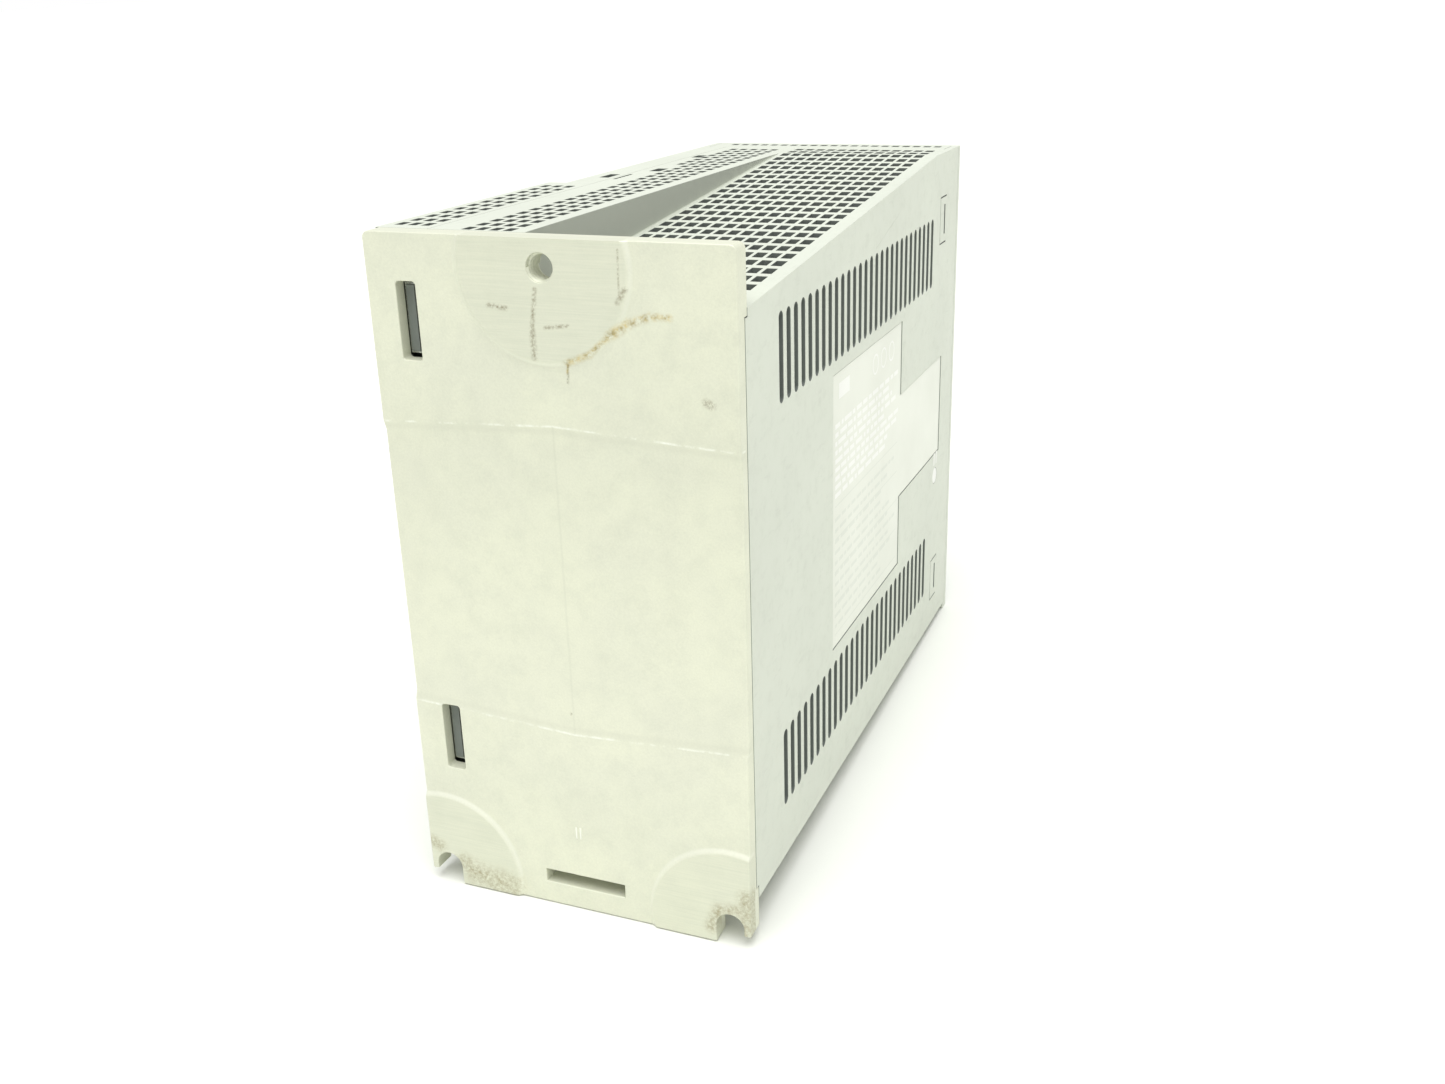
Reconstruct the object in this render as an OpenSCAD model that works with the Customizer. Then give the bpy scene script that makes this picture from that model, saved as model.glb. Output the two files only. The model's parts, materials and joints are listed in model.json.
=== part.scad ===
// Panel-mounted industrial DC power supply: cast aluminium back plate, vented plastic
// casing with a sloping roof grille, removable side cover, front cover with a hinged
// terminal flap, and the power electronics inside.
// Axes: +X right seen from the front, -Y front, +Y mounting face, +Z up.
// Origin: bottom centre of the whole unit. Units are millimetres.

/* [Overall] */
// Overall width, side to side
unit_w = 88; // [73:1:110]
// Overall depth, front face to mounting pads
unit_d = 195; // [162:1:240]
// Overall height of the back plate
unit_h = 166; // [138:1:210]
// Wall thickness of the plastic casing
wall = 2.2; // [1.8:0.1:3]
// Visible seam between casing parts
seam = 0.2; // [0.1:0.05:0.4]
// Space under the casing floor, left free for the lower mounting screws
floor_gap = 10.5; // [9:0.5:14]

/* [Back plate] */
// Plate thickness over the mounting pads
plate_t = 6; // [5:0.5:9]
// Corner radius of the plate
plate_r = 1.6; // [0.5:0.1:3]
// Height of the three round mounting pads
pad_h = 0.8; // [0.4:0.1:1.5]
// Radius of the mounting pads
pad_r = 20; // [14:0.5:24]
// Width of the bevel round each pad
pad_bevel = 1.2; // [0.4:0.1:2]
// Diameter of the upper mounting hole
hole_d = 6.3; // [5.3:0.1:7]
// Upper mounting hole below the top edge
hole_drop = 6.2; // [5:0.1:9]
// Width of the two open mounting slots
slot_w = 7.1; // [5.5:0.1:8]
// Slot centre line in from the side edge
slot_inset = 5.25; // [4.8:0.05:9]
// Centre of the slot's arch above the lower edge
slot_rise = 4.8; // [4:0.1:7]
// How much shorter the outer slot legs are than the plate
leg_short = 3; // [0:0.5:4]
// Depth of the milled middle field at the plate's sides
field_edge = 0.8; // [0.4:0.1:1.4]
// Depth of the milled middle field on the centre line
field_mid = 0.2; // [0.1:0.05:0.5]
// Top of the middle field below the top edge, at the sides
field_top = 43; // [35:1:60]
// Bottom of the middle field above the lower edge, at the sides
field_bottom = 51.5; // [40:1:65]
// Hook window width
window_w = 5; // [4:0.5:8]
// Hook window height
window_h = 17.6; // [12:0.2:24]
// Plate thickness left round the hook windows
window_rim = 3.4; // [2:0.1:4]
// Corner radius of the hook windows
window_r = 0.8; // [0.3:0.1:1.5]
// Hook window centre in from the cover side
window_inset = 9.9; // [8:0.1:14]
// Upper hook window centre below the top edge
window_top = 19.5; // [15:0.5:30]
// Lower hook window centre above the lower edge
window_bottom = 42.5; // [34:0.5:60]
// Cable-tie slot width near the lower edge
tie_w = 21.6; // [12:0.2:30]
// Cable-tie slot height
tie_h = 3.6; // [2:0.1:5]
// Cable-tie slot centre above the lower edge
tie_rise = 7.8; // [6:0.1:12]
// Height of the inner cooling block that the semiconductors clamp to
block_h = 11; // [8:0.5:14]
// Width of the cooling block
block_w = 26; // [20:1:34]

/* [Roof] */
// Width of the full-height deck beside the sloping roof, side cover included
deck_w = 38; // [30:1:46]
// Width of the side cover's own strip of the deck
cover_strip = 13.5; // [10:0.5:18]
// Drop of the sloping roof at the back plate
roof_drop = 13.4; // [8:0.2:18]
// Level part of the roof behind the front face
roof_level = 30; // [22:1:50]
// Depth of the front cover's own strip of the roof
front_strip = 12.5; // [9:0.5:18]
// Roof hole width
roof_hole_w = 2.6; // [1.6:0.1:2.8]
// Roof hole length
roof_hole_l = 4.5; // [3:0.1:5]
// Roof hole pitch across
roof_pitch_x = 3.5; // [3.4:0.05:4.5]
// Roof hole pitch front to back
roof_pitch_y = 6.5; // [6:0.1:8]
// Deck hole width
deck_hole_w = 2.3; // [1.5:0.1:2.6]
// Deck hole length
deck_hole_l = 4.1; // [3:0.1:4.6]
// Deck hole pitch across
deck_pitch_x = 3.43; // [3.2:0.01:4]
// Deck hole pitch front to back
deck_pitch_y = 5.92; // [5.5:0.02:7]
// Chamfer on the front half of the cover side's top edge
edge_chamfer = 5.5; // [3:0.5:8]

/* [Side vents] */
// Width of one vent slot
vent_w = 2.8; // [1.5:0.1:3]
// Pitch of the vent slots
vent_pitch = 5; // [4.5:0.1:7]
// Length of one vent slot
vent_l = 20.6; // [12:0.2:26]
// First vent slot in from the mounting pads
vent_start = 26.15; // [20:0.05:40]
// Last vent slot at least this far from the front face
vent_end = 33; // [26:1:50]
// Top of the upper vent row below the top edge
vent_top = 18.2; // [16:0.2:28]
// Bottom of the lower vent row above the plate's lower edge
vent_bottom = 24.9; // [20:0.1:32]

/* [Label] */
// Depth of the label recess
label_recess = 0.4; // [0.3:0.05:0.8]
// Thickness of the label film
label_t = 0.2; // [0.1:0.05:0.3]
// Label edge nearest the plate, in from the mounting pads
label_back = 63.7; // [50:1:75]
// Main part of the label, front to back
label_l = 64.8; // [45:1:80]
// Tongue of the label towards the front
label_tongue = 49; // [20:1:55]
// Label top below the top edge
label_top = 42; // [40:0.5:50]
// Label bottom above the lower edge
label_bottom = 49.5; // [47:0.5:60]
// Tongue top edge below the label's top
tongue_down = 21.5; // [10:0.5:30]
// Tongue bottom edge above the label's bottom
tongue_up = 21.5; // [10:0.5:30]

/* [Front] */
// Thickness of the front face
face_t = 2.3; // [1.8:0.1:3]
// Wall of the terminal bay
bay_wall = 1.8; // [1.4:0.1:2.4]
// Bay side in from the casing's side
bay_inset = 6; // [5:0.5:9]
// Height of the terminal bay above the casing floor
bay_h = 51; // [44:1:60]
// Flap thickness
flap_t = 2; // [1.6:0.1:2.5]
// Clearance round the flap
flap_gap = 0.4; // [0.3:0.05:0.8]
// Radius of the flap's hinge barrel
barrel_r = 2.4; // [2:0.1:3]
// Radius of the flap's hinge pins
pin_r = 1.5; // [1:0.1:1.8]
// Length of each hinge pin
pin_l = 1.4; // [1:0.1:1.6]
// Radial clearance of the hinge pins
pin_gap = 0.15; // [0.1:0.05:0.3]
// Terminal pitch
pole_pitch = 9.5; // [8:0.5:13]
// Terminal strip height
strip_h = 22; // [20:1:28]
// Front board behind the front face
board_back = 21.5; // [20:0.5:26]
// Circuit board thickness
pcb_t = 1.6; // [1:0.1:2.4]
// Rotor radius of the voltage trimmer
rotor_r = 3; // [2:0.1:4]
// Travel of the input range selector
selector_travel = 4; // [2:0.5:5]
// Travel of each mode switch
dip_travel = 2; // [1:0.5:2.5]
// Clearance round moving controls
move_gap = 0.3; // [0.2:0.05:0.5]

/* [Inside] */
// Main board stands this far off the casing wall
standoff_h = 5; // [4:0.5:8]
// Bulk capacitor radius
bulk_r = 15; // [10:0.5:15]
// Bulk capacitor length
bulk_l = 42; // [25:1:45]
// Output capacitor radius
out_cap_r = 6.25; // [4:0.25:6.5]
// Output capacitor length
out_cap_l = 25; // [16:1:32]
// Semiconductors clamped to the cooling block
device_n = 5; // [4:1:5]

/* [Hidden] */
$fn = 48;

eps = 0.01;
cut = 1;
x_lo = -unit_w / 2;
x_hi = unit_w / 2;
y_front = -unit_d / 2;
y_back = unit_d / 2;
y_plate = y_back - plate_t;
z_floor = floor_gap;
z_in = z_floor + wall;
x_step = x_hi - deck_w;
x_seam = x_hi - cover_strip;
y_level = y_front + roof_level;
y_roof_front = y_front + front_strip;
y_case = y_plate - seam;
z_roof_back = unit_h - roof_drop;
z_roof_in = z_roof_back - wall;
y_face_in = y_front + face_t;
y_fb = y_front + board_back;
board_x = x_lo + wall + standoff_h;
comp_x = board_x + pcb_t;

// the casing walls lap into a rebate in the plate's side edges
lap = 1.2;
lap_lo = z_floor + 3.5;
lap_hi = z_roof_back - 2;

// ---- helpers ----

// 2D shape in (Y, Z), made t thick along +X from x
module slab_x(x, t) {
    translate([x, 0, 0]) rotate([90, 0, 90]) linear_extrude(t) children();
}
// 2D shape in (X, Z), made t thick along +Y from y
module slab_y(y, t) {
    translate([0, y + t, 0]) rotate([90, 0, 0]) linear_extrude(t) children();
}
// box given by its two opposite corners
module block(a, b) {
    translate(a) cube(b - a);
}
// round bar along +X
module bar_x(p, r, l) {
    translate(p) rotate([0, 90, 0]) cylinder(r = r, h = l);
}
// round bar along +Y
module bar_y(p, r, l) {
    translate(p) rotate([-90, 0, 0]) cylinder(r = r, h = l);
}
// rectangle centred on p
module rect_at(p, w, h) {
    translate(p) square([w, h], center = true);
}
// slot with round ends, centred on p, standing along its second axis
module round_slot(p, w, l) {
    translate(p) {
        square([w, l - w], center = true);
        for (s = [-1, 1]) translate([0, s * (l - w) / 2]) circle(d = w, $fn = 24);
    }
}
// rectangle with round corners
module round_rect(a, b, r) {
    difference() {
        translate(a) square(b - a);
        for (i = [0, 1], j = [0, 1]) {
            c = [i == 0 ? a.x : b.x, j == 0 ? a.y : b.y];
            d = [i == 0 ? r : -r, j == 0 ? r : -r];
            translate(c) difference() {
                translate([min(d.x, 0) - (i == 0 ? eps : -eps), min(d.y, 0) - (j == 0 ? eps : -eps)])
                    square([r, r]);
                translate(d) circle(r = r, $fn = 24);
            }
        }
    }
}

// ---- back plate ----

hole_at = [0, unit_h - hole_drop];
slot_at = [for (s = [-1, 1]) [s * (unit_w / 2 - slot_inset), slot_rise]];
window_x = x_hi - window_inset;
window_z = [unit_h - window_top, window_bottom];
y_skin = y_back - pad_h;
boss_r = 4;
boss_h = 4;
tap_r = 1.6;
tap_l = 7;
boss_at = [[x_lo + 8, z_in + 6.5], [x_seam - 10, z_in + 6.5],
    [x_lo + 8, z_roof_in - 8.5], [x_seam - 10, unit_h - wall - 8.5]];
block_x = comp_x + 1.2;
block_z0 = z_in + 15;
block_z1 = z_roof_in - 18;
device_pitch = (block_z1 - block_z0) / device_n;
device_z = [for (i = [0 : device_n - 1]) block_z0 + device_pitch * (i + 0.5)];
y_block = y_plate - block_h;
clip_x = block_x + 19.6;
clip_screw_x = clip_x + 1;
field_tilt = 2.9;
field_ramp = 2.4;

module plate_outline() {
    difference() {
        round_rect([x_lo, 0], [x_hi, unit_h], plate_r);
        for (c = slot_at) {
            translate(c) circle(d = slot_w);
            translate([c.x - slot_w / 2, -cut]) square([slot_w, c.y + cut]);
        }
        for (x = [x_lo - eps, x_hi - slot_inset - eps]) translate([x, -cut])
            square([slot_inset + 2 * eps, leg_short + cut]);
    }
}

// milled field: two planes that meet in a faint ridge on the centre line, with ramped ends
module middle_field() {
    z0 = field_bottom;
    z1 = unit_h - field_top;
    for (s = [-1, 1]) intersection() {
        linear_extrude(unit_h)
            polygon([[0, y_skin + cut], [0, y_skin - field_mid],
                [s * (x_hi + cut), y_skin - field_edge - field_mid * cut / x_hi],
                [s * (x_hi + cut), y_skin + cut]]);
        intersection() {
            translate([s * x_hi, 0, z1]) rotate([0, s * field_tilt, 0]) translate([-s * x_hi, 0, -z1])
                slab_x(-unit_w, 2 * unit_w) polygon([[y_skin + cut, -unit_h],
                    [y_skin + cut, z1 + field_ramp * cut / field_edge],
                    [y_skin, z1], [y_skin - field_edge * 1.2, z1 - field_ramp * 1.2],
                    [y_skin - field_edge * 1.2, -unit_h]]);
            translate([s * x_hi, 0, z0]) rotate([0, -s * field_tilt, 0]) translate([-s * x_hi, 0, -z0])
                slab_x(-unit_w, 2 * unit_w) polygon([[y_skin + cut, 2 * unit_h],
                    [y_skin + cut, z0 - field_ramp * cut / field_edge],
                    [y_skin, z0], [y_skin - field_edge * 1.2, z0 + field_ramp * 1.2],
                    [y_skin - field_edge * 1.2, 2 * unit_h]]);
        }
    }
}

module rear_plate() color("#d9dbc8") difference() {
    union() {
        slab_y(y_plate, plate_t - pad_h) plate_outline();
        intersection() {
            slab_y(y_plate + cut, plate_t) plate_outline();
            for (c = concat([hole_at], slot_at)) translate([c.x, y_skin - eps, c.y])
                rotate([-90, 0, 0]) cylinder(r1 = pad_r + pad_bevel, r2 = pad_r, h = pad_h + eps, $fn = 96);
        }
        block([block_x, y_block, block_z0], [block_x + block_w, y_plate + eps, block_z1]);
        for (c = boss_at) bar_y([c.x, y_plate - boss_h, c.y], boss_r, boss_h + eps);
    }
    middle_field();
    bar_y([hole_at.x, y_plate - cut, hole_at.y], hole_d / 2, plate_t + 2 * cut);
    for (z = window_z) slab_y(y_plate - cut, plate_t + 2 * cut)
        round_rect([window_x - window_w / 2, z - window_h / 2],
            [window_x + window_w / 2, z + window_h / 2], window_r);
    // the plate is thinner round the windows, where the cover's arms reach in
    for (z = window_z) block([window_x - window_w / 2 - 2, y_plate - cut, z - window_h / 2 - 1.5],
        [window_x + window_w / 2 + 2, y_skin - window_rim, z + window_h / 2 + 1.5]);
    block([-tie_w / 2, y_plate - cut, tie_rise - tie_h / 2], [tie_w / 2, y_back + cut, tie_rise + tie_h / 2]);
    for (s = [-1, 1]) {
        a = s < 0 ? x_lo - cut : x_hi - wall - seam;
        block([a, y_plate - cut, lap_lo - seam], [a + wall + seam + cut, y_plate + lap + seam, lap_hi + seam]);
    }
    for (c = boss_at) bar_y([c.x, y_plate - boss_h - cut, c.y], tap_r, tap_l + cut);
    for (z = device_z) bar_y([clip_screw_x, y_block - cut, z], clip_tap_r, clip_tap_l + cut);
}
clip_tap_r = 1.3;
clip_tap_l = 8;

// ---- casing ----

vent_n = floor((unit_d - vent_start - vent_end) / vent_pitch) + 1;
vent_y = [for (i = [0 : vent_n - 1]) y_back - vent_start - i * vent_pitch];
vent_z = [unit_h - vent_top - vent_l / 2, vent_bottom + vent_l / 2];
tab_y = y_front + 18.5;
tab_w = 9;
tab_z = [z_roof_back - 6.8, z_floor + 16.2];
tab_slot = 1.4;
groove = 0.4;
tab_t = 2.3;
sticker_at = [y_front + 22, z_floor + 53];
sticker_r = 2.6;
sticker_t = 0.15;

module vents() {
    for (y = vent_y, z = vent_z) round_slot([y, z], vent_w, vent_l);
}
// front snap tabs: a slot for the front cover's hook, and a groove round it
module tab_slots() {
    for (z = tab_z) rect_at([tab_y, z], tab_slot, tab_w);
}
module tab_grooves() {
    reach = 5.5;
    for (z = tab_z) {
        rect_at([tab_y + reach, z], groove, 14);
        for (s = [-1, 1]) rect_at([tab_y + reach / 2 - 1, z + s * 7], reach + 2, groove);
    }
}
module label_shape(inset) {
    y1 = y_back - label_back - inset;
    y0 = y_back - label_back - label_l + inset;
    yt = y0 - label_tongue;
    z1 = unit_h - label_top - inset;
    z0 = label_bottom + inset;
    t1 = unit_h - label_top - tongue_down - inset;
    t0 = label_bottom + tongue_up + inset;
    polygon([[y1, z0], [y1, z1], [y0, z1], [y0, t1], [yt, t1], [yt, t0], [y0, t0], [y0, z0]]);
}
module left_side() {
    polygon([[y_face_in + seam, z_floor], [y_case, z_floor], [y_case, lap_lo], [y_plate + lap, lap_lo],
        [y_plate + lap, lap_hi], [y_case, lap_hi], [y_case, z_roof_back], [y_level, unit_h],
        [y_face_in + seam, unit_h]]);
}
module roof_band(top) {
    polygon([[y_case, z_roof_back - wall], [y_case, top ? unit_h : z_roof_back], [y_level, unit_h],
        [y_roof_front + seam, unit_h], [y_roof_front + seam, unit_h - wall], [y_level, unit_h - wall]]);
}

roof_x0 = x_lo + 5.25;
roof_rim = 1;
roof_cols = floor((x_step - roof_rim - roof_hole_w / 2 - roof_x0) / roof_pitch_x) + 1;
roof_y0 = y_back - 13.95;
roof_rows = floor((roof_y0 - y_roof_front - 5) / roof_pitch_y) + 1;
deck_x0 = x_step + 5.2;
deck_cols = 4;
deck_y0 = y_case - 2.8;
deck_rows = floor((deck_y0 - y_roof_front - 5) / deck_pitch_y) + 1;
extra_rows = 8;
floor_slot_w = 3;
floor_slot_l = 22;
floor_pitch = 6.5;
floor_n = floor((y_case - 24 - y_fb) / floor_pitch);
snap_y = y_back - 101.5;

module roof_holes() {
    for (i = [0 : roof_cols - 1], j = [0 : roof_rows - 1])
        rect_at([roof_x0 + i * roof_pitch_x, roof_y0 - j * roof_pitch_y], roof_hole_w, roof_hole_l);
}
module deck_holes() {
    for (j = [0 : deck_rows - 1]) {
        n = j >= deck_rows - extra_rows ? deck_cols + 1 : deck_cols;
        for (i = [0 : n - 1])
            rect_at([deck_x0 + i * deck_pitch_x, deck_y0 - j * deck_pitch_y], deck_hole_w, deck_hole_l);
    }
    rect_at([x_seam - 5, snap_y - 16.5], 3.4, 7);
    rect_at([x_seam - 1.6, snap_y], 1, 12);
    rect_at([x_seam - 2.6, snap_y - 52], 3, 6.5);
}
module screw_tab(c, to_floor) {
    y0 = y_plate - boss_h - tab_t;
    z0 = to_floor ? z_floor + eps : c.y - 6;
    z1 = to_floor ? c.y + 6 : (c.x < x_step ? z_roof_back - wall / 2 : unit_h - wall + seam);
    block([c.x - 6, y0, z0], [c.x + 6, y0 + tab_t, z1]);
}

module housing() color("#d5dad2") difference() {
    union() {
        // vented side wall
        slab_x(x_lo, wall) difference() {
            left_side();
            vents();
            tab_slots();
        }
        // sloping roof with its grille
        intersection() {
            slab_x(x_lo + eps, x_step - x_lo - eps) roof_band(false);
            linear_extrude(unit_h + cut) difference() {
                translate([x_lo, y_front]) square([deck_w + x_step - x_lo, unit_d]);
                roof_holes();
            }
        }
        // upright step between the slope and the deck
        slab_x(x_step, wall) polygon([[y_case, z_roof_back - wall], [y_case, unit_h],
            [y_level, unit_h], [y_level, unit_h - wall]]);
        // level deck
        translate([0, 0, unit_h - wall]) linear_extrude(wall) difference() {
            translate([x_step, y_roof_front + seam])
                square([x_seam - seam - x_step, y_case - y_roof_front - seam]);
            deck_holes();
        }
        // floor
        translate([0, 0, z_floor]) linear_extrude(wall) difference() {
            translate([x_lo, y_fb]) square([x_seam - seam - x_lo, y_case - y_fb]);
            for (j = [0 : floor_n - 1], c = [0, 1]) {
                x = x_lo + 10 + floor_slot_l / 2 + c * (floor_slot_l + 6);
                rect_at([x, y_case - 18 - j * floor_pitch], floor_slot_l, floor_slot_w);
            }
        }
        for (i = [0 : 3]) screw_tab(boss_at[i], i < 2);
        for (p = main_posts) bar_x([x_lo + wall - eps, p.x, p.y], post_r, standoff_h + eps);
    }
    slab_x(x_lo - cut, label_recess + cut) label_shape(0);
    slab_x(x_lo - cut, groove + cut) tab_grooves();
    slab_x(x_lo - cut, sticker_t + 0.05 + cut) translate(sticker_at) circle(r = sticker_r + 0.15);
    for (c = boss_at) bar_y([c.x, y_plate - boss_h - tab_t - cut, c.y], tap_r + 0.2, tab_t + 2 * cut);
    for (p = main_posts) bar_x([x_lo + wall + cut, p.x, p.y], post_tap_r, standoff_h);
}

// ---- side cover ----

cover_cols = 3;
cover_rows = 12;
cover_x0 = x_hi - 3.4;
cover_pitch_y = 6.05;
cover_y0 = y_case - 5.8;
y_chamfer = y_back - 86.5;
x_chamfer = x_hi - edge_chamfer - wall;
y_lip = y_fb + 3;
lip_l = 4;
lip_t = 1.2;
lip_gap = 0.1;
hook_t = 2.2;
hook_w = window_h - 2.6;
hook_x1 = window_x + window_w / 2 - 0.4;
y_hook = y_skin - window_rim + 0.2;
clip_t = 0.4;
clip_gap = 0.05;

module side_cover() color("#d5dad2") difference() {
    union() {
        difference() {
            block([x_seam, y_face_in + seam, z_floor], [x_hi, y_case, unit_h]);
            block([x_seam - cut, y_face_in, z_in], [x_hi - wall, y_case + cut, unit_h - wall]);
        }
        block([x_hi - wall, y_case - eps, lap_lo], [x_hi, y_plate + lap, lap_hi]);
        // sloping inner wall behind the chamfer
        slab_y(y_face_in + seam, y_chamfer - y_face_in - seam)
            polygon([[x_chamfer, unit_h - wall], [x_hi - wall, unit_h - wall],
                [x_hi - wall, unit_h - edge_chamfer - wall]]);
        // lips that locate under the deck and over the floor
        for (z = [unit_h - wall - lip_gap - lip_t, z_in + lip_gap])
            block([x_seam - lip_l, y_lip, z], [x_seam + wall, y_case - 12, z + lip_t]);
        for (z = [unit_h - wall - lip_gap - lip_t, z_in])
            block([x_seam, y_lip, z], [x_seam + wall, y_case - 12, z + lip_t + lip_gap]);
        for (z = window_z) cover_hook(z);
    }
    slab_x(x_hi - wall - cut, wall + 2 * cut) vents();
    // leave the front cover's roof strip and terminal bay clear
    block([x_seam - lip_l - cut, y_front, unit_h - 2 * wall], [x_chamfer, y_roof_front + seam, unit_h + cut]);
    block([x_seam - lip_l - cut, y_front, z_floor - cut], [x_hi - wall, y_fb, z_in + wall]);
    // cut away the chamfered edge
    slab_y(y_front, y_chamfer - y_front) polygon([[x_hi - edge_chamfer - cut, unit_h + cut],
        [x_hi + cut, unit_h - edge_chamfer - cut], [x_hi + cut, unit_h + cut]]);
    translate([0, 0, unit_h - wall - cut]) linear_extrude(wall + 2 * cut) {
        for (i = [0 : cover_cols - 1], j = [0 : cover_rows - 1])
            rect_at([cover_x0 - i * deck_pitch_x, cover_y0 - j * cover_pitch_y], deck_hole_w, deck_hole_l);
        rect_at([x_seam + 3, snap_y - 1], 3, 8);
    }
}
// arm from the cover into the plate's window, which locates the cover
module cover_hook(z) {
    block([hook_x1 - hook_t, y_case - 14, z - hook_w / 2], [hook_x1, y_hook, z + hook_w / 2]);
    block([hook_x1 - eps, y_case - 14, z - hook_w / 2], [x_hi - wall + eps, y_case - 11, z + hook_w / 2]);
}
// spring steel bands round the tips of the arms, which take up the play in the windows
module cover_clips() color("#aeb2b0") for (z = window_z) difference() {
    band(z, clip_gap + clip_t, y_hook - 3, y_hook - 0.3);
    band(z, clip_gap, y_hook - 3 - cut, y_hook - 0.3 + cut);
}
module band(z, g, y0, y1) {
    block([hook_x1 - hook_t - g, y0, z - hook_w / 2 - g], [hook_x1 + g, y1, z + hook_w / 2 + g]);
}

// ---- front cover ----

bay_x = x_hi - bay_inset;
z_bay = z_floor + bay_h;
z_flap0 = z_floor + 3;
hinge_y = y_front + barrel_r;
hinge_z = z_flap0 + barrel_r;
y_strip = y_fb - 2;
led_at = [for (i = [0 : 2]) [x_lo + 14, z_bay + 56 - i * 7]];
trimmer_at = [x_lo + 14, z_bay + 27];
selector_at = [x_hi - 22, z_bay + 38];
dip_at = [x_lo + 14, z_bay + 11];
plug_at = [x_hi - 22, z_bay + 16];
plug_w = 17;
plug_h = 9;
socket_wall = 1.3;
pipe_r = 1.5;
label_x = x_hi - 5;
label_z0 = z_bay + 3.5;
label_z1 = z_bay + 64;
front_hole_w = 2.3;
front_hole_l = 3.6;
front_pitch = 3.4;
front_cols = floor((unit_w - edge_chamfer - 9) / front_pitch);

module face_outline() {
    polygon([[x_lo, z_floor], [x_hi, z_floor], [x_hi, unit_h - edge_chamfer], [x_hi - edge_chamfer, unit_h],
        [x_lo, unit_h]]);
}
// openings for the controls, each widened by g
module control_openings(g) {
    for (p = led_at) translate(p) circle(r = pipe_r + g);
    translate(trimmer_at) circle(r = rotor_r + g);
    rect_at([selector_at.x, selector_at.y], selector_travel + 3 + 2 * g, 3 + 2 * g);
    rect_at(dip_at, 6.4 + 2 * g, 2 * dip_travel + 2 * g);
    rect_at(plug_at, plug_w + 2 * g, plug_h + 2 * g);
}
module front_cover() color("#d5dad2") difference() {
    union() {
        slab_y(y_front, face_t) difference() {
            face_outline();
            translate([-bay_x, z_flap0 - 3 - cut]) square([2 * bay_x, z_bay - bay_wall - z_flap0 + 3 + cut]);
        }
        // bay cheeks, roof and back
        for (s = [-1, 1]) {
            a = s < 0 ? -bay_x - bay_wall : bay_x;
            block([a, y_front + eps, z_floor], [a + bay_wall, y_strip + 1.4, z_bay]);
        }
        block([-bay_x - eps, y_front + eps, z_bay - bay_wall], [bay_x + eps, y_strip + 1.4, z_bay]);
        block([-bay_x - eps, y_strip - 0.4, z_strip + strip_h + 0.4], [bay_x + eps, y_strip + 1.4, z_bay - eps]);
        // strip of roof with its row of holes
        translate([0, 0, unit_h - wall]) linear_extrude(wall) difference() {
            translate([x_lo + wall + seam, y_face_in - eps])
                square([x_chamfer - seam - (x_lo + wall + seam), front_strip - face_t + eps]);
            for (i = [0 : front_cols - 1])
                rect_at([x_lo + 6 + i * front_pitch, y_front + 5.2], front_hole_w, front_hole_l);
        }
        for (s = [-1, 1], z = tab_z) clip_arm(s, z);
        // feet
        for (s = [-1, 1]) {
            a = s < 0 ? x_lo : x_hi - 5;
            block([a, y_front, z_floor - 2], [a + 5, y_front + face_t, z_floor + eps]);
            block([a, y_front + face_t - eps, z_floor - 2], [a + 5, y_front + face_t + 2, z_floor - seam]);
        }
    }
    slab_y(y_front - cut, face_t + 2 * cut) control_openings(move_gap);
    slab_y(y_front - cut, label_t + 0.1 + cut) label_field(0.15);
    for (s = [-1, 1]) bar_x([s * bay_x - pin_l - 0.3, hinge_y, hinge_z], pin_r + pin_gap, 2 * (pin_l + 0.3));
    // finger notch over the flap
    slab_y(y_front - cut, face_t - 0.8 + cut) rect_at([0, z_bay - bay_wall], 22, 5);
}
module label_field(g) {
    rect_at([0, (label_z0 + label_z1) / 2], 2 * (label_x + g), label_z1 - label_z0 + 2 * g);
}
// clip arm inside the casing wall, its hook standing in the wall's slot
module clip_arm(s, z) {
    arm_t = 1.4;
    arm_h = tab_w - 1;
    reach = tab_y + tab_slot / 2 + 1.5;
    a = s < 0 ? x_lo + wall + seam : x_hi - wall - seam - arm_t;
    block([a, y_face_in - eps, z - arm_h / 2], [a + arm_t, reach, z + arm_h / 2]);
    if (s < 0) block([a - 1.2, tab_y - tab_slot / 2 + 0.15, z - arm_h / 2],
        [a + eps, tab_y + tab_slot / 2 - 0.15, z + arm_h / 2]);
}

// ---- terminal flap ----

flap_x = bay_x - flap_gap;
z_flap1 = z_bay - bay_wall - flap_gap;

module terminal_flap() color("#cfd5cd") difference() {
    union() {
        block([-flap_x, y_front, hinge_z], [flap_x, y_front + flap_t, z_flap1]);
        bar_x([-flap_x, hinge_y, hinge_z], barrel_r, 2 * flap_x);
        for (s = [-1, 1]) bar_x([s < 0 ? -flap_x - pin_l : flap_x - eps, hinge_y, hinge_z], pin_r, pin_l + eps);
        // stiffening ribs inside
        for (s = [-1, 0, 1]) block([s * (flap_x - 4) - 0.75, y_front + flap_t - eps, hinge_z + 6],
            [s * (flap_x - 4) + 0.75, y_front + flap_t + 1.2, z_flap1 - 4]);
    }
    // grip dimples for a fingertip, and a shallow border
    for (i = [0 : 3]) block([-9, y_front - cut, z_flap1 - 4 - i * 2.4],
        [9, y_front + 0.5, z_flap1 - 2.8 - i * 2.4]);
}

// ---- labels ----

module rating_label() color("#eef1e6") slab_x(x_lo + label_recess - label_t, label_t) label_shape(0.2);

module front_label() color("#39424a") slab_y(y_front + 0.1, label_t) difference() {
    label_field(0);
    control_openings(move_gap + 0.3);
}
module side_sticker() color("#f4f5ee")
    slab_x(x_lo + 0.05, sticker_t) translate(sticker_at) circle(r = sticker_r);

// ---- fasteners and boards ----

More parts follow.
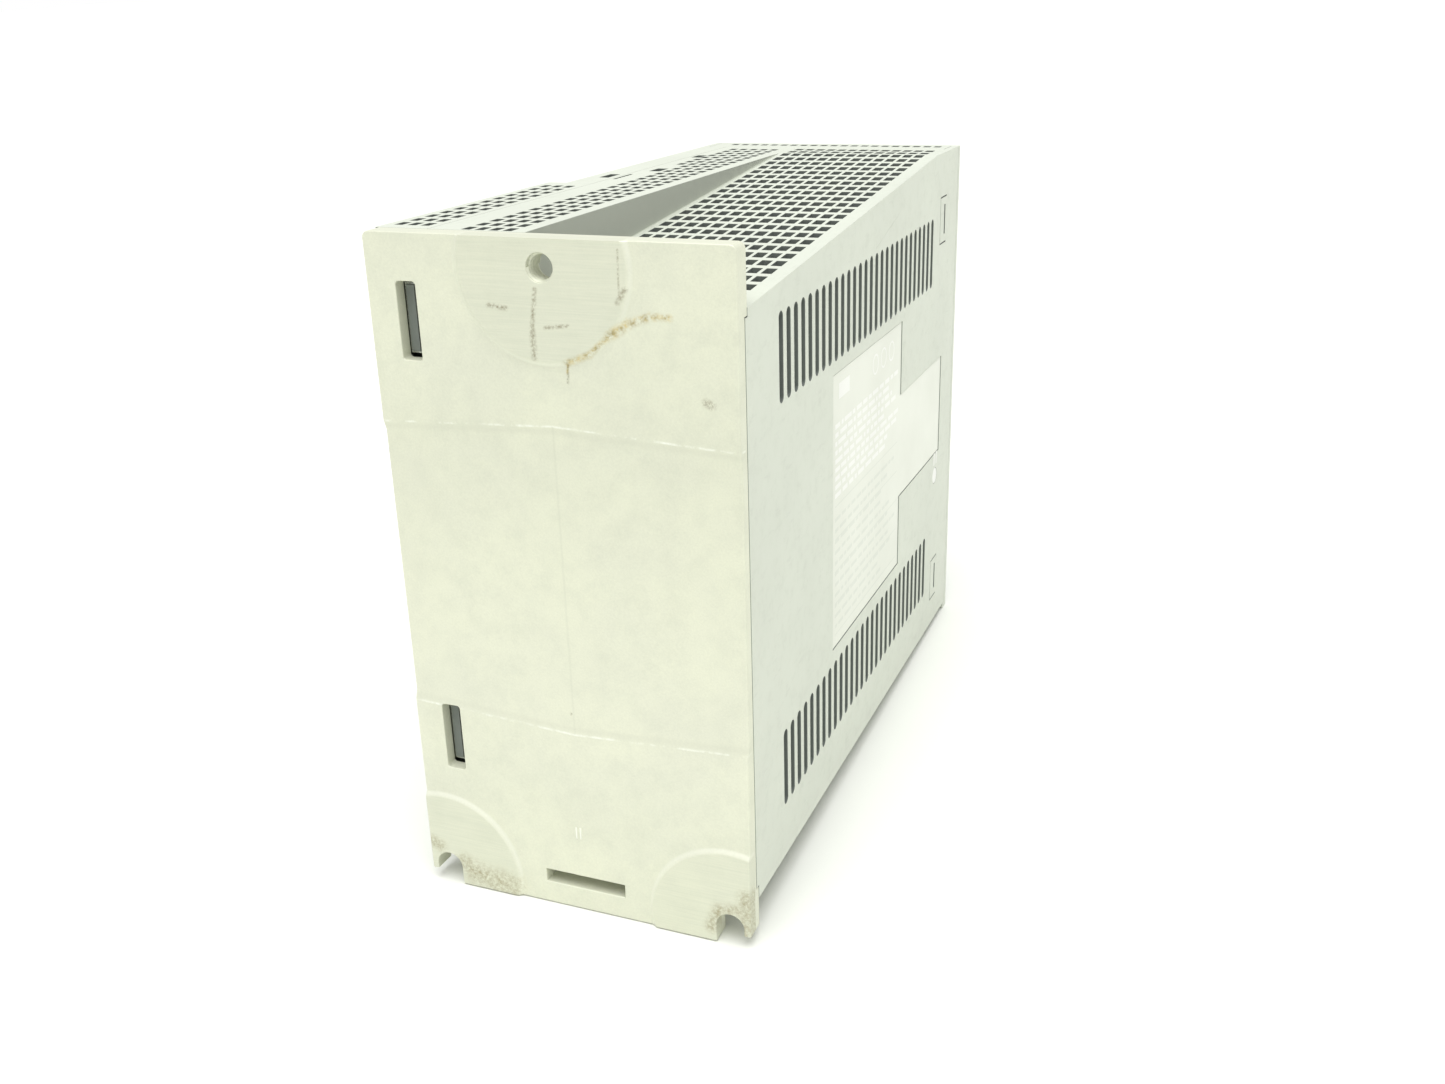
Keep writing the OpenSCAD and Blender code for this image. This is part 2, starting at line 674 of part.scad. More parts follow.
head_h = 2.2;
screw_r = 1.5;
post_r = 3.2;
post_tap_r = 1.2;
board_z0 = z_in + 3;
board_z1 = z_roof_in - 4;
board_y0 = y_fb + pcb_t + 0.4;
board_y1 = y_block - 1.5;
main_posts = [for (y = [board_y0 + 6, board_y1 - 6], z = [board_z0 + 6, board_z1 - 6]) [y, z]];

// pan head screw along +Y with a cross recess, head underside at p
module screw_y(p, r, l, head_r, h) {
    difference() {
        union() {
            bar_y([p.x, p.y - h, p.z], head_r, h);
            bar_y([p.x, p.y - eps, p.z], r, l + eps);
        }
        for (a = [0, 90]) translate([p.x, p.y - h, p.z]) rotate([0, a, 0])
            cube([head_r * 1.2, h, head_r * 0.26], center = true);
    }
}
module plate_screws() color("#b9bcb8")
    for (c = boss_at) screw_y([c.x, y_plate - boss_h - tab_t, c.y], screw_r, tab_t + 6, 2.9, head_h);

module main_board() color("#2f6b45") difference() {
    block([board_x, board_y0, board_z0], [comp_x, board_y1, board_z1]);
    for (p = main_posts) bar_x([board_x - cut, p.x, p.y], 1.7, pcb_t + 2 * cut);
}
module board_screws() color("#b9bcb8") for (p = main_posts) difference() {
    union() {
        bar_x([comp_x, p.x, p.y], 2.7, 2);
        bar_x([comp_x - pcb_t - 3.4, p.x, p.y], 1.1, pcb_t + 3.4 + eps);
    }
    for (a = [0, 90]) translate([comp_x + 2, p.x, p.y]) rotate([a, 0, 0]) cube([2, 3.2, 0.7], center = true);
}
front_board_x0 = board_x;
front_board_x1 = x_hi - wall - 2;
module front_board() color("#2f6b45")
    block([front_board_x0, y_fb, z_in + 4], [front_board_x1, y_fb + pcb_t, z_bay + 66]);

module board_link() color("#2a2a2c") for (i = [0, 1])
    block([comp_x, y_fb + pcb_t, z_in + 20 + i * 52],
        [comp_x + 5, y_fb + pcb_t + link_d, z_in + 44 + i * 52]);
link_d = 6;

// ---- terminals ----

z_strip = z_floor + 11;
strip_x = bay_x - 0.5;
pole_n = floor((2 * strip_x - 2) / pole_pitch);
pole_x = [for (i = [0 : pole_n - 1]) (i - (pole_n - 1) / 2) * pole_pitch];
y_ledge = y_fb - 7;
rib_t = 1.5;
tab_w2 = pole_pitch - rib_t - 1;
stud_r = 1.75;

module terminal_strip() color("#2b2d30") difference() {
    union() {
        block([-strip_x, y_ledge, z_strip], [strip_x, y_fb, z_strip + strip_h]);
        for (i = [0 : pole_n]) {
            x = (i - pole_n / 2) * pole_pitch;
            block([x - rib_t / 2, y_ledge - 8, z_strip], [x + rib_t / 2, y_ledge + eps, z_strip + strip_h]);
        }
        block([-pole_n * pole_pitch / 2, y_ledge - 5, z_strip + strip_h - 6],
            [pole_n * pole_pitch / 2, y_ledge + eps, z_strip + strip_h]);
    }
    for (x = pole_x) bar_y([x, y_ledge - cut, z_strip + 8], stud_r + 0.1, 6 + cut);
}
module terminal_tabs() color("#c9b98a") for (x = pole_x) difference() {
    block([x - tab_w2 / 2, y_ledge - 0.8, z_strip + 1], [x + tab_w2 / 2, y_ledge, z_strip + strip_h - 7]);
    bar_y([x, y_ledge - cut, z_strip + 8], stud_r + 0.1, 2 * cut);
}
module terminal_washers() color("#c4c6c2") for (x = pole_x) difference() {
    block([x - 3.2, y_ledge - 1.9, z_strip + 4.8], [x + 3.2, y_ledge - 0.9, z_strip + 11.2]);
    bar_y([x, y_ledge - 2 - cut, z_strip + 8], stud_r + 0.1, 2 + 2 * cut);
}
module terminal_screws() color("#b9bcb8")
    for (x = pole_x) screw_y([x, y_ledge - 1.9, z_strip + 8], stud_r, 6.6, 2.9, 2.4);

// ---- signal contact: socket on the board, plug that pulls out to the front ----

socket_d = y_fb - y_front - 9;
plug_back = y_fb - 3;

module signal_socket() color("#3c6e50") difference() {
    block([plug_at.x - plug_w / 2 - socket_wall, y_fb - socket_d, plug_at.y - plug_h / 2 - socket_wall],
        [plug_at.x + plug_w / 2 + socket_wall, y_fb, plug_at.y + plug_h / 2 + socket_wall]);
    block([plug_at.x - plug_w / 2, y_fb - socket_d - cut, plug_at.y - plug_h / 2],
        [plug_at.x + plug_w / 2, y_fb - 2, plug_at.y + plug_h / 2]);
}
module signal_pins() color("#c9b98a") for (i = [-1, 0, 1])
    block([plug_at.x + i * 5 - 0.5, y_fb - 9, plug_at.y - 2.5],
        [plug_at.x + i * 5 + 0.5, y_fb - 2, plug_at.y - 1.5]);

module signal_plug() color("#3c6e50") difference() {
    block([plug_at.x - plug_w / 2 + move_gap, y_front + 0.5, plug_at.y - plug_h / 2 + move_gap],
        [plug_at.x + plug_w / 2 - move_gap, plug_back, plug_at.y + plug_h / 2 - move_gap]);
    for (i = [-1, 0, 1]) {
        x = plug_at.x + i * 5;
        block([x - 1.6, y_front - cut, plug_at.y - 3.3], [x + 1.6, y_front + 8, plug_at.y - 0.2]);
        block([x - 1, plug_back - 8, plug_at.y - 3], [x + 1, plug_back + cut, plug_at.y - 1]);
        bar_y([x, y_front - cut, plug_at.y + 2], 1.3, 6 + cut);
    }
}
module signal_plug_screws() color("#b9bcb8") for (i = [-1, 0, 1]) difference() {
    bar_y([plug_at.x + i * 5, y_front + 1.6, plug_at.y + 2], 1.2, 3.8);
    translate([plug_at.x + i * 5, y_front + 1.6, plug_at.y + 2]) cube([2, 1, 0.45], center = true);
}

// ---- controls ----

trimmer_w = 9.6;
trimmer_d = 6;
module trimmer_body() color("#2f5f9e") difference() {
    block([trimmer_at.x - trimmer_w / 2, y_fb - trimmer_d, trimmer_at.y - trimmer_w / 2],
        [trimmer_at.x + trimmer_w / 2, y_fb, trimmer_at.y + trimmer_w / 2]);
    bar_y([trimmer_at.x, y_fb - trimmer_d - cut, trimmer_at.y], 1.65, 4 + cut);
}
module trimmer_rotor() color("#e8e6da") difference() {
    y0 = y_front + 0.8;
    union() {
        bar_y([trimmer_at.x, y0, trimmer_at.y], rotor_r, y_fb - trimmer_d - move_gap - y0);
        bar_y([trimmer_at.x, y_fb - trimmer_d - move_gap - eps, trimmer_at.y], 1.5, 3);
    }
    translate([trimmer_at.x, y0, trimmer_at.y]) cube([2 * rotor_r - 1.4, 2.4, 0.9], center = true);
    translate([trimmer_at.x + rotor_r - 1, y0, trimmer_at.y]) cube([1.2, 2.4, 1.8], center = true);
}

sel_w = selector_travel + 3;
module selector_body() color("#26282b") difference() {
    block([selector_at.x - sel_w / 2 - 2, y_fb - 9, selector_at.y - 3.5],
        [selector_at.x + sel_w / 2 + 2, y_fb, selector_at.y + 3.5]);
    block([selector_at.x - sel_w / 2 - 0.1, y_fb - 9 - cut, selector_at.y - 1.5 - move_gap],
        [selector_at.x + sel_w / 2 + 0.1, y_fb - 4, selector_at.y + 1.5 + move_gap]);
}
module selector_slider() color("#b5362c") {
    x0 = selector_at.x - sel_w / 2 + 0.1;
    difference() {
        block([x0, y_front + 0.8, selector_at.y - 1.5], [x0 + 2.8, y_fb - 4 - move_gap, selector_at.y + 1.5]);
        block([x0 + 1.1, y_front, selector_at.y - 2], [x0 + 1.7, y_front + 1.5, selector_at.y + 2]);
    }
}
dip_w = 1.6;
dip_x = [dip_at.x - 1.7, dip_at.x + 1.7];
module mode_switch_body() color("#2d4f96") difference() {
    block([dip_at.x - 4, y_fb - 10, dip_at.y - dip_travel - 1.6],
        [dip_at.x + 4, y_fb, dip_at.y + dip_travel + 1.6]);
    for (x = dip_x) block([x - dip_w / 2 - move_gap, y_fb - 10 - cut, dip_at.y - dip_travel],
        [x + dip_w / 2 + move_gap, y_fb - 6, dip_at.y + dip_travel]);
}
module mode_slider(x) {
    z0 = dip_at.y - dip_travel + 0.2;
    block([x - dip_w / 2, y_front + 1, z0], [x + dip_w / 2, y_fb - 6 - move_gap, z0 + dip_travel - 0.4]);
}
module mode_switch_1() color("#f0efe8") mode_slider(dip_x[0]);
module mode_switch_2() color("#f0efe8") mode_slider(dip_x[1]);

module status_leds() color("#7fd08a") for (p = led_at) bar_y([p.x, y_fb - 4, p.y], pipe_r, 4);
module light_pipes() color("#dfe8e2") for (p = led_at)
    bar_y([p.x, y_front + 0.3, p.y], pipe_r, y_fb - 4.2 - y_front - 0.3);

// ---- magnetics ----

xf_at = [board_y1 - 24, board_z0 + 55];
core_z = 36;
core_y = 14;
core_x = 38;
leg = 10;
win_z = 7.5;
win_x = 26;
xf_x = comp_x + 2;

module transformer_core() color("#4a4c50") difference() {
    block([xf_x, xf_at.x - core_y / 2, xf_at.y - core_z / 2],
        [xf_x + core_x, xf_at.x + core_y / 2, xf_at.y + core_z / 2]);
    for (s = [-1, 1]) {
        a = s < 0 ? xf_at.y - leg / 2 - win_z : xf_at.y + leg / 2;
        block([xf_x + (core_x - win_x) / 2, xf_at.x - core_y, a],
            [xf_x + (core_x + win_x) / 2, xf_at.x + core_y, a + win_z]);
    }
}
bob_t = 1;
bob_gap = 0.2;
module leg_box(x0, x1, g) {
    block([x0, xf_at.x - core_y / 2 - g, xf_at.y - leg / 2 - g],
        [x1, xf_at.x + core_y / 2 + g, xf_at.y + leg / 2 + g]);
}
xb0 = xf_x + (core_x - win_x) / 2 + bob_gap;
xb1 = xf_x + (core_x + win_x) / 2 - bob_gap;
flange_y = 30;
flange_z = leg + 2 * win_z - 0.8;
module flange(x0) {
    block([x0, xf_at.x - flange_y / 2, xf_at.y - flange_z / 2],
        [x0 + 1.2, xf_at.x + flange_y / 2, xf_at.y + flange_z / 2]);
}
module transformer_bobbin() color("#2e2f33") {
    difference() {
        union() {
            flange(xb0);
            flange(xb1 - 1.2);
            leg_box(xb0, xb1, bob_gap + bob_t);
        }
        leg_box(xb0 - cut, xb1 + cut, bob_gap);
    }
    for (s = [-1, 1]) block([comp_x, xf_at.x + s * 13 - 1.5, xf_at.y - 11], [xb0 + eps, xf_at.x + s * 13 + 1.5, xf_at.y + 11]);
}
module transformer_winding() color("#c9a22a") difference() {
    block([xb0 + 1.4, xf_at.x - 13, xf_at.y - flange_z / 2 + 0.6], [xb1 - 1.4, xf_at.x + 13, xf_at.y + flange_z / 2 - 0.6]);
    leg_box(xb0, xb1, bob_gap + bob_t + 0.1);
}

// ring core on edge or flat, axis along +X
module ring_core(p, r_out, r_in, h) {
    translate(p) rotate([0, 90, 0]) rotate_extrude() translate([r_in, 0]) square([r_out - r_in, h]);
}
// turns of wire round a ring core: separate flat loops
module ring_turns(p, r_out, r_in, h, n, wire) {
    g = 0.15;
    for (i = [0 : n - 1]) translate(p) rotate([360 * i / n, 0, 0]) difference() {
        translate([-wire, r_in - wire, -wire / 2]) cube([h + 2 * wire, r_out - r_in + 2 * wire, wire]);
        translate([-g, r_in - g, -wire]) cube([h + 2 * g, r_out - r_in + 2 * g, 2 * wire]);
    }
}
pfc_at = [comp_x + 2.4, board_y1 - 24, board_z0 + 19];
out_choke_at = [comp_x + 2, board_y1 - 22, board_z1 - 13];
mains_choke_at = [comp_x + 2, board_y0 + 74, board_z0 + 77];
module pfc_choke_core() color("#8f9a5a") ring_core(pfc_at, 14, 8, 14);
module pfc_choke_winding() color("#b5651d") ring_turns(pfc_at, 14, 8, 14, 24, 1.4);
module output_choke_core() color("#c8b44a") ring_core(out_choke_at, 9.5, 5.5, 11);
module output_choke_winding() color("#b5651d") ring_turns(out_choke_at, 9.5, 5.5, 11, 14, 1.4);
module mains_choke_core() color("#3d5c46") ring_core(mains_choke_at, 8.6, 5, 9);
module mains_choke_winding() color("#b5651d") ring_turns(mains_choke_at, 8.6, 5, 9, 12, 1.2);

// ---- capacitors, relay, fuse, varistor ----

bulk_at = [for (i = [0, 1]) [comp_x, board_y0 + 22, board_z0 + 18 + i * (2 * bulk_r + 2)]];
out_cap_y = y_fb + pcb_t + link_d + 0.6 + out_cap_r;
out_cap_at = [for (i = [0 : 3]) [comp_x, out_cap_y + i * (2 * out_cap_r + 2.5), board_z1 - 20]];
sleeve_t = 0.2;
module bulk_capacitors() color("#c7cacb")
    for (p = bulk_at) bar_x(p, bulk_r - sleeve_t, bulk_l);
module bulk_capacitor_sleeves() color("#23314f") for (p = bulk_at) difference() {
    bar_x([p.x + 1, p.y, p.z], bulk_r, bulk_l - 3);
    bar_x([p.x - cut, p.y, p.z], bulk_r - sleeve_t, bulk_l + 2 * cut);
}
module output_capacitors() color("#3a2a4d") for (p = out_cap_at) bar_x(p, out_cap_r, out_cap_l);
module film_capacitors() color("#d9b92c") for (i = [0, 1])
    block([comp_x, board_y0 + 41 + i * 11, board_z0 + 4], [comp_x + 20, board_y0 + 50 + i * 11, board_z0 + 30]);
module relay() color("#24262a")
    block([comp_x, board_y0 + 42, board_z0 + 36], [comp_x + 16, board_y0 + 58, board_z0 + 62]);
fuse_at = [comp_x + 6, board_y0 + 40, board_z0 + 70];
fuse_r = 2.6;
module fuse() color("#cfd6d4") bar_y(fuse_at, fuse_r, 20);
module fuse_clips() color("#c9b98a") for (d = [1, 14.5]) difference() {
    block([comp_x, fuse_at.y + d, fuse_at.z - 3.3], [fuse_at.x + 3, fuse_at.y + d + 4.5, fuse_at.z + 3.3]);
    bar_y([fuse_at.x, fuse_at.y, fuse_at.z], fuse_r + 0.06, 22);
    block([fuse_at.x, fuse_at.y, fuse_at.z - 1.8], [fuse_at.x + 4, fuse_at.y + 22, fuse_at.z + 1.8]);
}
module surge_varistor() color("#2f6fa8") bar_y([comp_x + 9, board_y0 + 64, board_z0 + 24], 7, 4);

// ---- semiconductors on the cooling block ----

pad_t = 0.3;
dev_t = 4.6;
dev_w = 10.4;
dev_l = 15;
dev_x0 = block_x + 1.2;
y_dev = y_block - pad_t - dev_t;
module device_body(i, w) {
    block([dev_x0, y_dev, device_z[i] - w / 2], [dev_x0 + dev_l, y_dev + dev_t, device_z[i] + w / 2]);
}
module bridge_rectifier() color("#1f2022") device_body(0, 13);
module power_transistors() color("#1f2022") for (i = [1, 2]) device_body(i, dev_w);
module output_rectifiers() color("#1f2022") for (i = [3 : device_n - 1]) device_body(i, dev_w);
module thermal_pads() color("#9aa3a8") for (z = device_z)
    block([block_x + 0.6, y_block - pad_t, z - 6.6], [block_x + 16.8, y_block, z + 6.6]);
// flat leads from each device down to the board
module device_leads() color("#c4c6c2") for (z = device_z, k = [-1, 0, 1]) {
    y0 = y_dev + 2;
    block([comp_x, y0 - 5.5, z + k * 3.6 - 0.4], [comp_x + 1.6, y0 - 4.9, z + k * 3.6 + 0.4]);
    block([comp_x + 1, y0 - 5.5, z + k * 3.6 - 0.4], [comp_x + 1.6, y0, z + k * 3.6 + 0.4]);
    block([comp_x + 1, y0, z + k * 3.6 - 0.4], [dev_x0, y0 + 0.6, z + k * 3.6 + 0.4]);
}
// sprung steel strip, screwed to the block, pressing on the device
module device_clips() color("#aeb2b0") for (z = device_z) difference() {
    union() {
        block([clip_x - 2.6, y_block - 0.8, z - 4], [clip_x + 4.5, y_block, z + 4]);
        block([clip_x - 2.6, y_dev - 0.8, z - 4], [clip_x - 1.8, y_block, z + 4]);
        block([dev_x0 + 4, y_dev - 0.8, z - 4], [clip_x - 1.8 + eps, y_dev, z + 4]);
    }
    bar_y([clip_screw_x, y_block - 2, z], 1.5, 4);
}
module clip_screws() color("#b9bcb8")
    for (z = device_z) screw_y([clip_screw_x, y_block - 0.8, z], 1.25, 6.5, 2.4, 1.8);

// ---- insulation between the board's parts and the side cover ----

module insulation_sheet() color("#dfe3d8")
    block([x_hi - wall - 1, board_y0, z_in + 6], [x_hi - wall - 0.6, y_case - 16, unit_h - edge_chamfer - wall - 6]);

rear_plate();
housing();
side_cover();
front_cover();
terminal_flap();
rating_label();
front_label();
side_sticker();
cover_clips();
plate_screws();
main_board();
board_screws();
front_board();
board_link();
terminal_strip();
terminal_tabs();
terminal_screws();
terminal_washers();
signal_socket();
signal_plug();
signal_plug_screws();
signal_pins();
trimmer_body();
trimmer_rotor();
selector_body();
selector_slider();
mode_switch_body();
mode_switch_1();
mode_switch_2();
status_leds();
light_pipes();
transformer_core();
transformer_bobbin();
transformer_winding();
pfc_choke_core();
pfc_choke_winding();
mains_choke_core();
mains_choke_winding();
output_choke_core();
output_choke_winding();
bulk_capacitors();
bulk_capacitor_sleeves();
output_capacitors();
film_capacitors();
relay();
fuse();
fuse_clips();
surge_varistor();
bridge_rectifier();
power_transistors();
output_rectifiers();
device_leads();
thermal_pads();
device_clips();
clip_screws();
insulation_sheet();
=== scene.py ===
import functools
import json
import math
import bmesh
import bpy
import numpy as np
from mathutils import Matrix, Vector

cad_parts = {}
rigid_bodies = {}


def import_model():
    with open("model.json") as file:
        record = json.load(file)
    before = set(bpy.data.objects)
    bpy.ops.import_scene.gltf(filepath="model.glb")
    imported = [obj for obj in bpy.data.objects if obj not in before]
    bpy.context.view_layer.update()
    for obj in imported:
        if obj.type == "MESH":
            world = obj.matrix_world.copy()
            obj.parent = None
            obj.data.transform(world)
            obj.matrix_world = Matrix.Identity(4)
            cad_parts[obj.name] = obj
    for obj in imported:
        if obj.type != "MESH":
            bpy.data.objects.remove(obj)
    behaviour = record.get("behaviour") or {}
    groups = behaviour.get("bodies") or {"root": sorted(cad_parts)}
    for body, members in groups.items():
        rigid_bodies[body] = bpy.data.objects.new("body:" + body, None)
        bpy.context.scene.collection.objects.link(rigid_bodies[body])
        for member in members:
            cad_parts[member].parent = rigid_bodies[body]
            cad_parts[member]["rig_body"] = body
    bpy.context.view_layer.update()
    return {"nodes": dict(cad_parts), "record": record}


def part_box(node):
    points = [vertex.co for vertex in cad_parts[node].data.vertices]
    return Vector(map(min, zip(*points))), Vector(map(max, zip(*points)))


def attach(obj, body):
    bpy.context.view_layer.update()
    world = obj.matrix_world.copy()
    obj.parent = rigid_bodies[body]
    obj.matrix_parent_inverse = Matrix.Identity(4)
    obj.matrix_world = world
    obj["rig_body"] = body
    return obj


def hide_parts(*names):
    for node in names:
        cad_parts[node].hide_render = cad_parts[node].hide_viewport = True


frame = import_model()
mm = 0.001

# ---- Camera ----
# It stands behind the unit, above the mounting plate, and sees the plate, the vented side
# and the sloping roof through a 35 mm lens.
camera = bpy.data.objects.new("camera", bpy.data.cameras.new("camera"))
camera.data.lens = 35
camera.data.sensor_width = 36
camera.location = (-0.1459, 0.3549, 0.2110)
camera.rotation_euler = [math.radians(angle) for angle in (68.86, 1.52, -158.15)]
bpy.context.scene.collection.objects.link(camera)
bpy.context.scene.camera = camera


# ---- Back plate ----
# A die casting in aluminium with the cooling block on its inner side. The middle field and
# the three pads round the fixings are machined, the rest is as cast. It has been in use: a
# brown streak below the upper pad, scratches, and grit round the lower screws.
def tint(colour, share=1.0):
    """Linear red, green, blue and alpha of an sRGB hex colour, dimmed to a share: each part to
    the power of 2.4 above the toe of the sRGB curve, divided by 12.92 below it."""
    parts = [int(colour[i : i + 2], 16) / 255 for i in (1, 3, 5)]
    return (*[share * (p / 12.92 if p < 0.04045 else ((p + 0.055) / 1.055) ** 2.4) for p in parts], 1.0)


def fill(made, inputs):
    """Links each input that is given a socket and sets each that is given a value; the inputs
    are named, or counted from the first."""
    for name, value in inputs.items() if isinstance(inputs, dict) else enumerate(inputs):
        if isinstance(value, bpy.types.NodeSocket):
            made.id_data.links.new(value, made.inputs[name])
        else:
            made.inputs[name].default_value = value


def add_node(tree, kind, inputs=(), give=0, **settings):
    """Adds a shader node, sets its properties, fills its inputs, and returns one output."""
    made = tree.nodes.new("ShaderNode" + kind)
    for name, value in settings.items():
        setattr(made, name, value)
    fill(made, inputs)
    return made.outputs[give]


def start_material(name, **constants):
    """A new material: its Principled shader with the constants set on its own sockets, a
    function that adds nodes to its tree, and the object coordinates."""
    material = bpy.data.materials.new(name)
    material.use_nodes = True
    shader = material.node_tree.nodes["Principled BSDF"]
    fill(shader, {socket.replace("_", " "): value for socket, value in constants.items()})
    add = functools.partial(add_node, material.node_tree)
    return material, shader, add, add("TexCoord", give="Object")


def cells(place, size_mm, detail=3.0, rough=0.55):
    """Inputs of a noise whose cells are size_mm wide."""
    return {"Vector": place, "Scale": 1 / (size_mm * mm), "Detail": detail, "Roughness": rough}


def surface(shader, add, base, rough, height, depth_mm, strength=1.0):
    """Gives a shader its colour and roughness, and a relief: the height pattern, at its full
    value as deep as given."""
    relief = add("Bump", {"Height": height, "Distance": depth_mm * mm, "Strength": strength})
    fill(shader, {"Base Color": base, "Roughness": rough, "Normal": relief})


def stroke(add, place, start, end, width):
    """A soft line between two points (x, z) in millimetres: 1 on the line, 0 at its width, by
    the distance to the nearest point of the segment."""
    a, b = np.array([start[0], 0, start[1]]) * mm, np.array([end[0], 0, end[1]]) * mm
    along = (b - a) / np.dot(b - a, b - a)
    flat = add("VectorMath", [place, (1, 0, 1)], operation="MULTIPLY")
    from_a = add("VectorMath", [flat, tuple(a)], operation="SUBTRACT")
    share = add("VectorMath", [from_a, tuple(along)], give="Value", operation="DOT_PRODUCT")
    step = add("VectorMath", {0: tuple(b - a), "Scale": add("Clamp", [share])}, operation="SCALE")
    reach = add("VectorMath", [from_a, step], give="Value", operation="DISTANCE")
    return add("MapRange", [reach, 0.0, width * mm, 1.0, 0.0], interpolation_type="SMOOTHSTEP")


def fold(add, way, values):
    """The greatest or the least of several values at each point: two are joined by the way
    given, MAXIMUM or MINIMUM, then the result with the next, and so on."""
    return functools.reduce(lambda a, b: add("Math", [a, b], operation=way), values)


def broken(add, mask, place, size_mm, full, none, strength):
    """A mask broken up by fine noise: kept where the noise is at full, gone where it is at
    none, and then taken at the strength given."""
    fine = add("TexNoise", cells(place, size_mm, 4.0, 0.75))
    kept = add("MapRange", [fine, none, full, 0.0, strength])
    return add("Math", [mask, kept], operation="MULTIPLY", use_clamp=True)


def refined(node, width_mm, material, segments=2, sharp=28):
    """A copy of a CAD node with doubles merged and flat faces joined, its sharp edges rounded
    by a bevel of the width given. It rides where the node rides and stands for it."""
    source = frame["nodes"][node]
    shape = bmesh.new()
    shape.from_mesh(source.data)
    bmesh.ops.remove_doubles(shape, verts=shape.verts, dist=0.002 * mm)
    bmesh.ops.dissolve_limit(shape, angle_limit=math.radians(0.5), verts=shape.verts, edges=shape.edges)
    mesh = bpy.data.meshes.new(node + "_finished")
    shape.to_mesh(mesh)
    shape.free()
    if "custom_normal" in mesh.attributes:
        mesh.attributes.remove(mesh.attributes["custom_normal"])
    mesh.shade_smooth()
    mesh.set_sharp_from_angle(angle=math.radians(sharp))
    piece = bpy.data.objects.new(node + "_finished", mesh)
    bpy.context.scene.collection.objects.link(piece)
    mesh.materials.clear()
    mesh.materials.append(material)
    edge = piece.modifiers.new("rounded edges", "BEVEL")
    edge.width = width_mm * mm
    edge.segments = segments
    edge.limit_method = "ANGLE"
    edge.angle_limit = math.radians(sharp)
    edge.use_clamp_overlap = False
    edge.harden_normals = True
    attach(piece, source["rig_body"])
    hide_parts(node)
    return piece


mounts = {m["name"]: m["pos_m"] for m in frame["record"]["mounts"]}
pad_radius = 20 * mm
plate_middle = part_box("rear_plate")[1].y - 3.4 * mm  # marks and dirt are only on the outer face
pad_centres = [mounts["mounting_hole"], mounts["mounting_slot_left"], mounts["mounting_slot_right"]]
# the streak ran along the pad's rim and off to the side; points (x, z) and widths in millimetres
streak_run = [(-4.6, 137.5), (-5.0, 139.8), (-10.3, 141.9), (-15.5, 146.3)]
streak_run += [(-19.5, 148.9), (-24.6, 150.7), (-29, 150.6)]
streak_width = [0.5, 1.3, 1.1, 1.8, 1.5, 1.3]
scratches = [
    ((1.4, 155.2), (2.7, 146.5), 0.9),
    ((2.7, 146.5), (2.6, 140.5), 1.2),
    ((12.9, 151.4), (8.7, 150.9), 0.9),
    ((-0.4, 147.2), (-6.0, 147.9), 0.7),
    ((-19.5, 156.1), (-17.8, 153.4), 1.0),
    ((-18.4, 164.3), (-18.2, 154), 0.4),
    ((-36.6, 133.4), (-37.8, 132.8), 1.5),
    ((-5.0, 139.8), (-4.6, 135.4), 0.5),
    ((0.6, 54.8), (0.7, 54.6), 0.5),
]
grit_spots = [
    ((34.0, 6.5), (31, 4), 4.5),
    ((31, 4), (21, 2.5), 6.0),
    ((43, 11), (41, 10), 3.0),
    ((-34.0, 4), (-36, 9), 3.0),
    ((-36, 9), (-41, 10), 3.0),
    ((-43.0, 14), (-43.0, 4), 3.5),
]
# painted highlights lie along the two casting tool marks, as lines (x, z) in millimetres
tool_mark_highlights = [((0.3, 20.6), (0.3, 23.4)), ((1.4, 20.6), (1.4, 23.4))]
# the milled field's upper and lower edges climb and drop towards the centre line
field_edges = [((44, 123), (0, 125.2)), ((-44, 123), (0, 125.2)), ((44, 51.5), (0, 49.3)), ((-44, 51.5), (0, 49.3))]


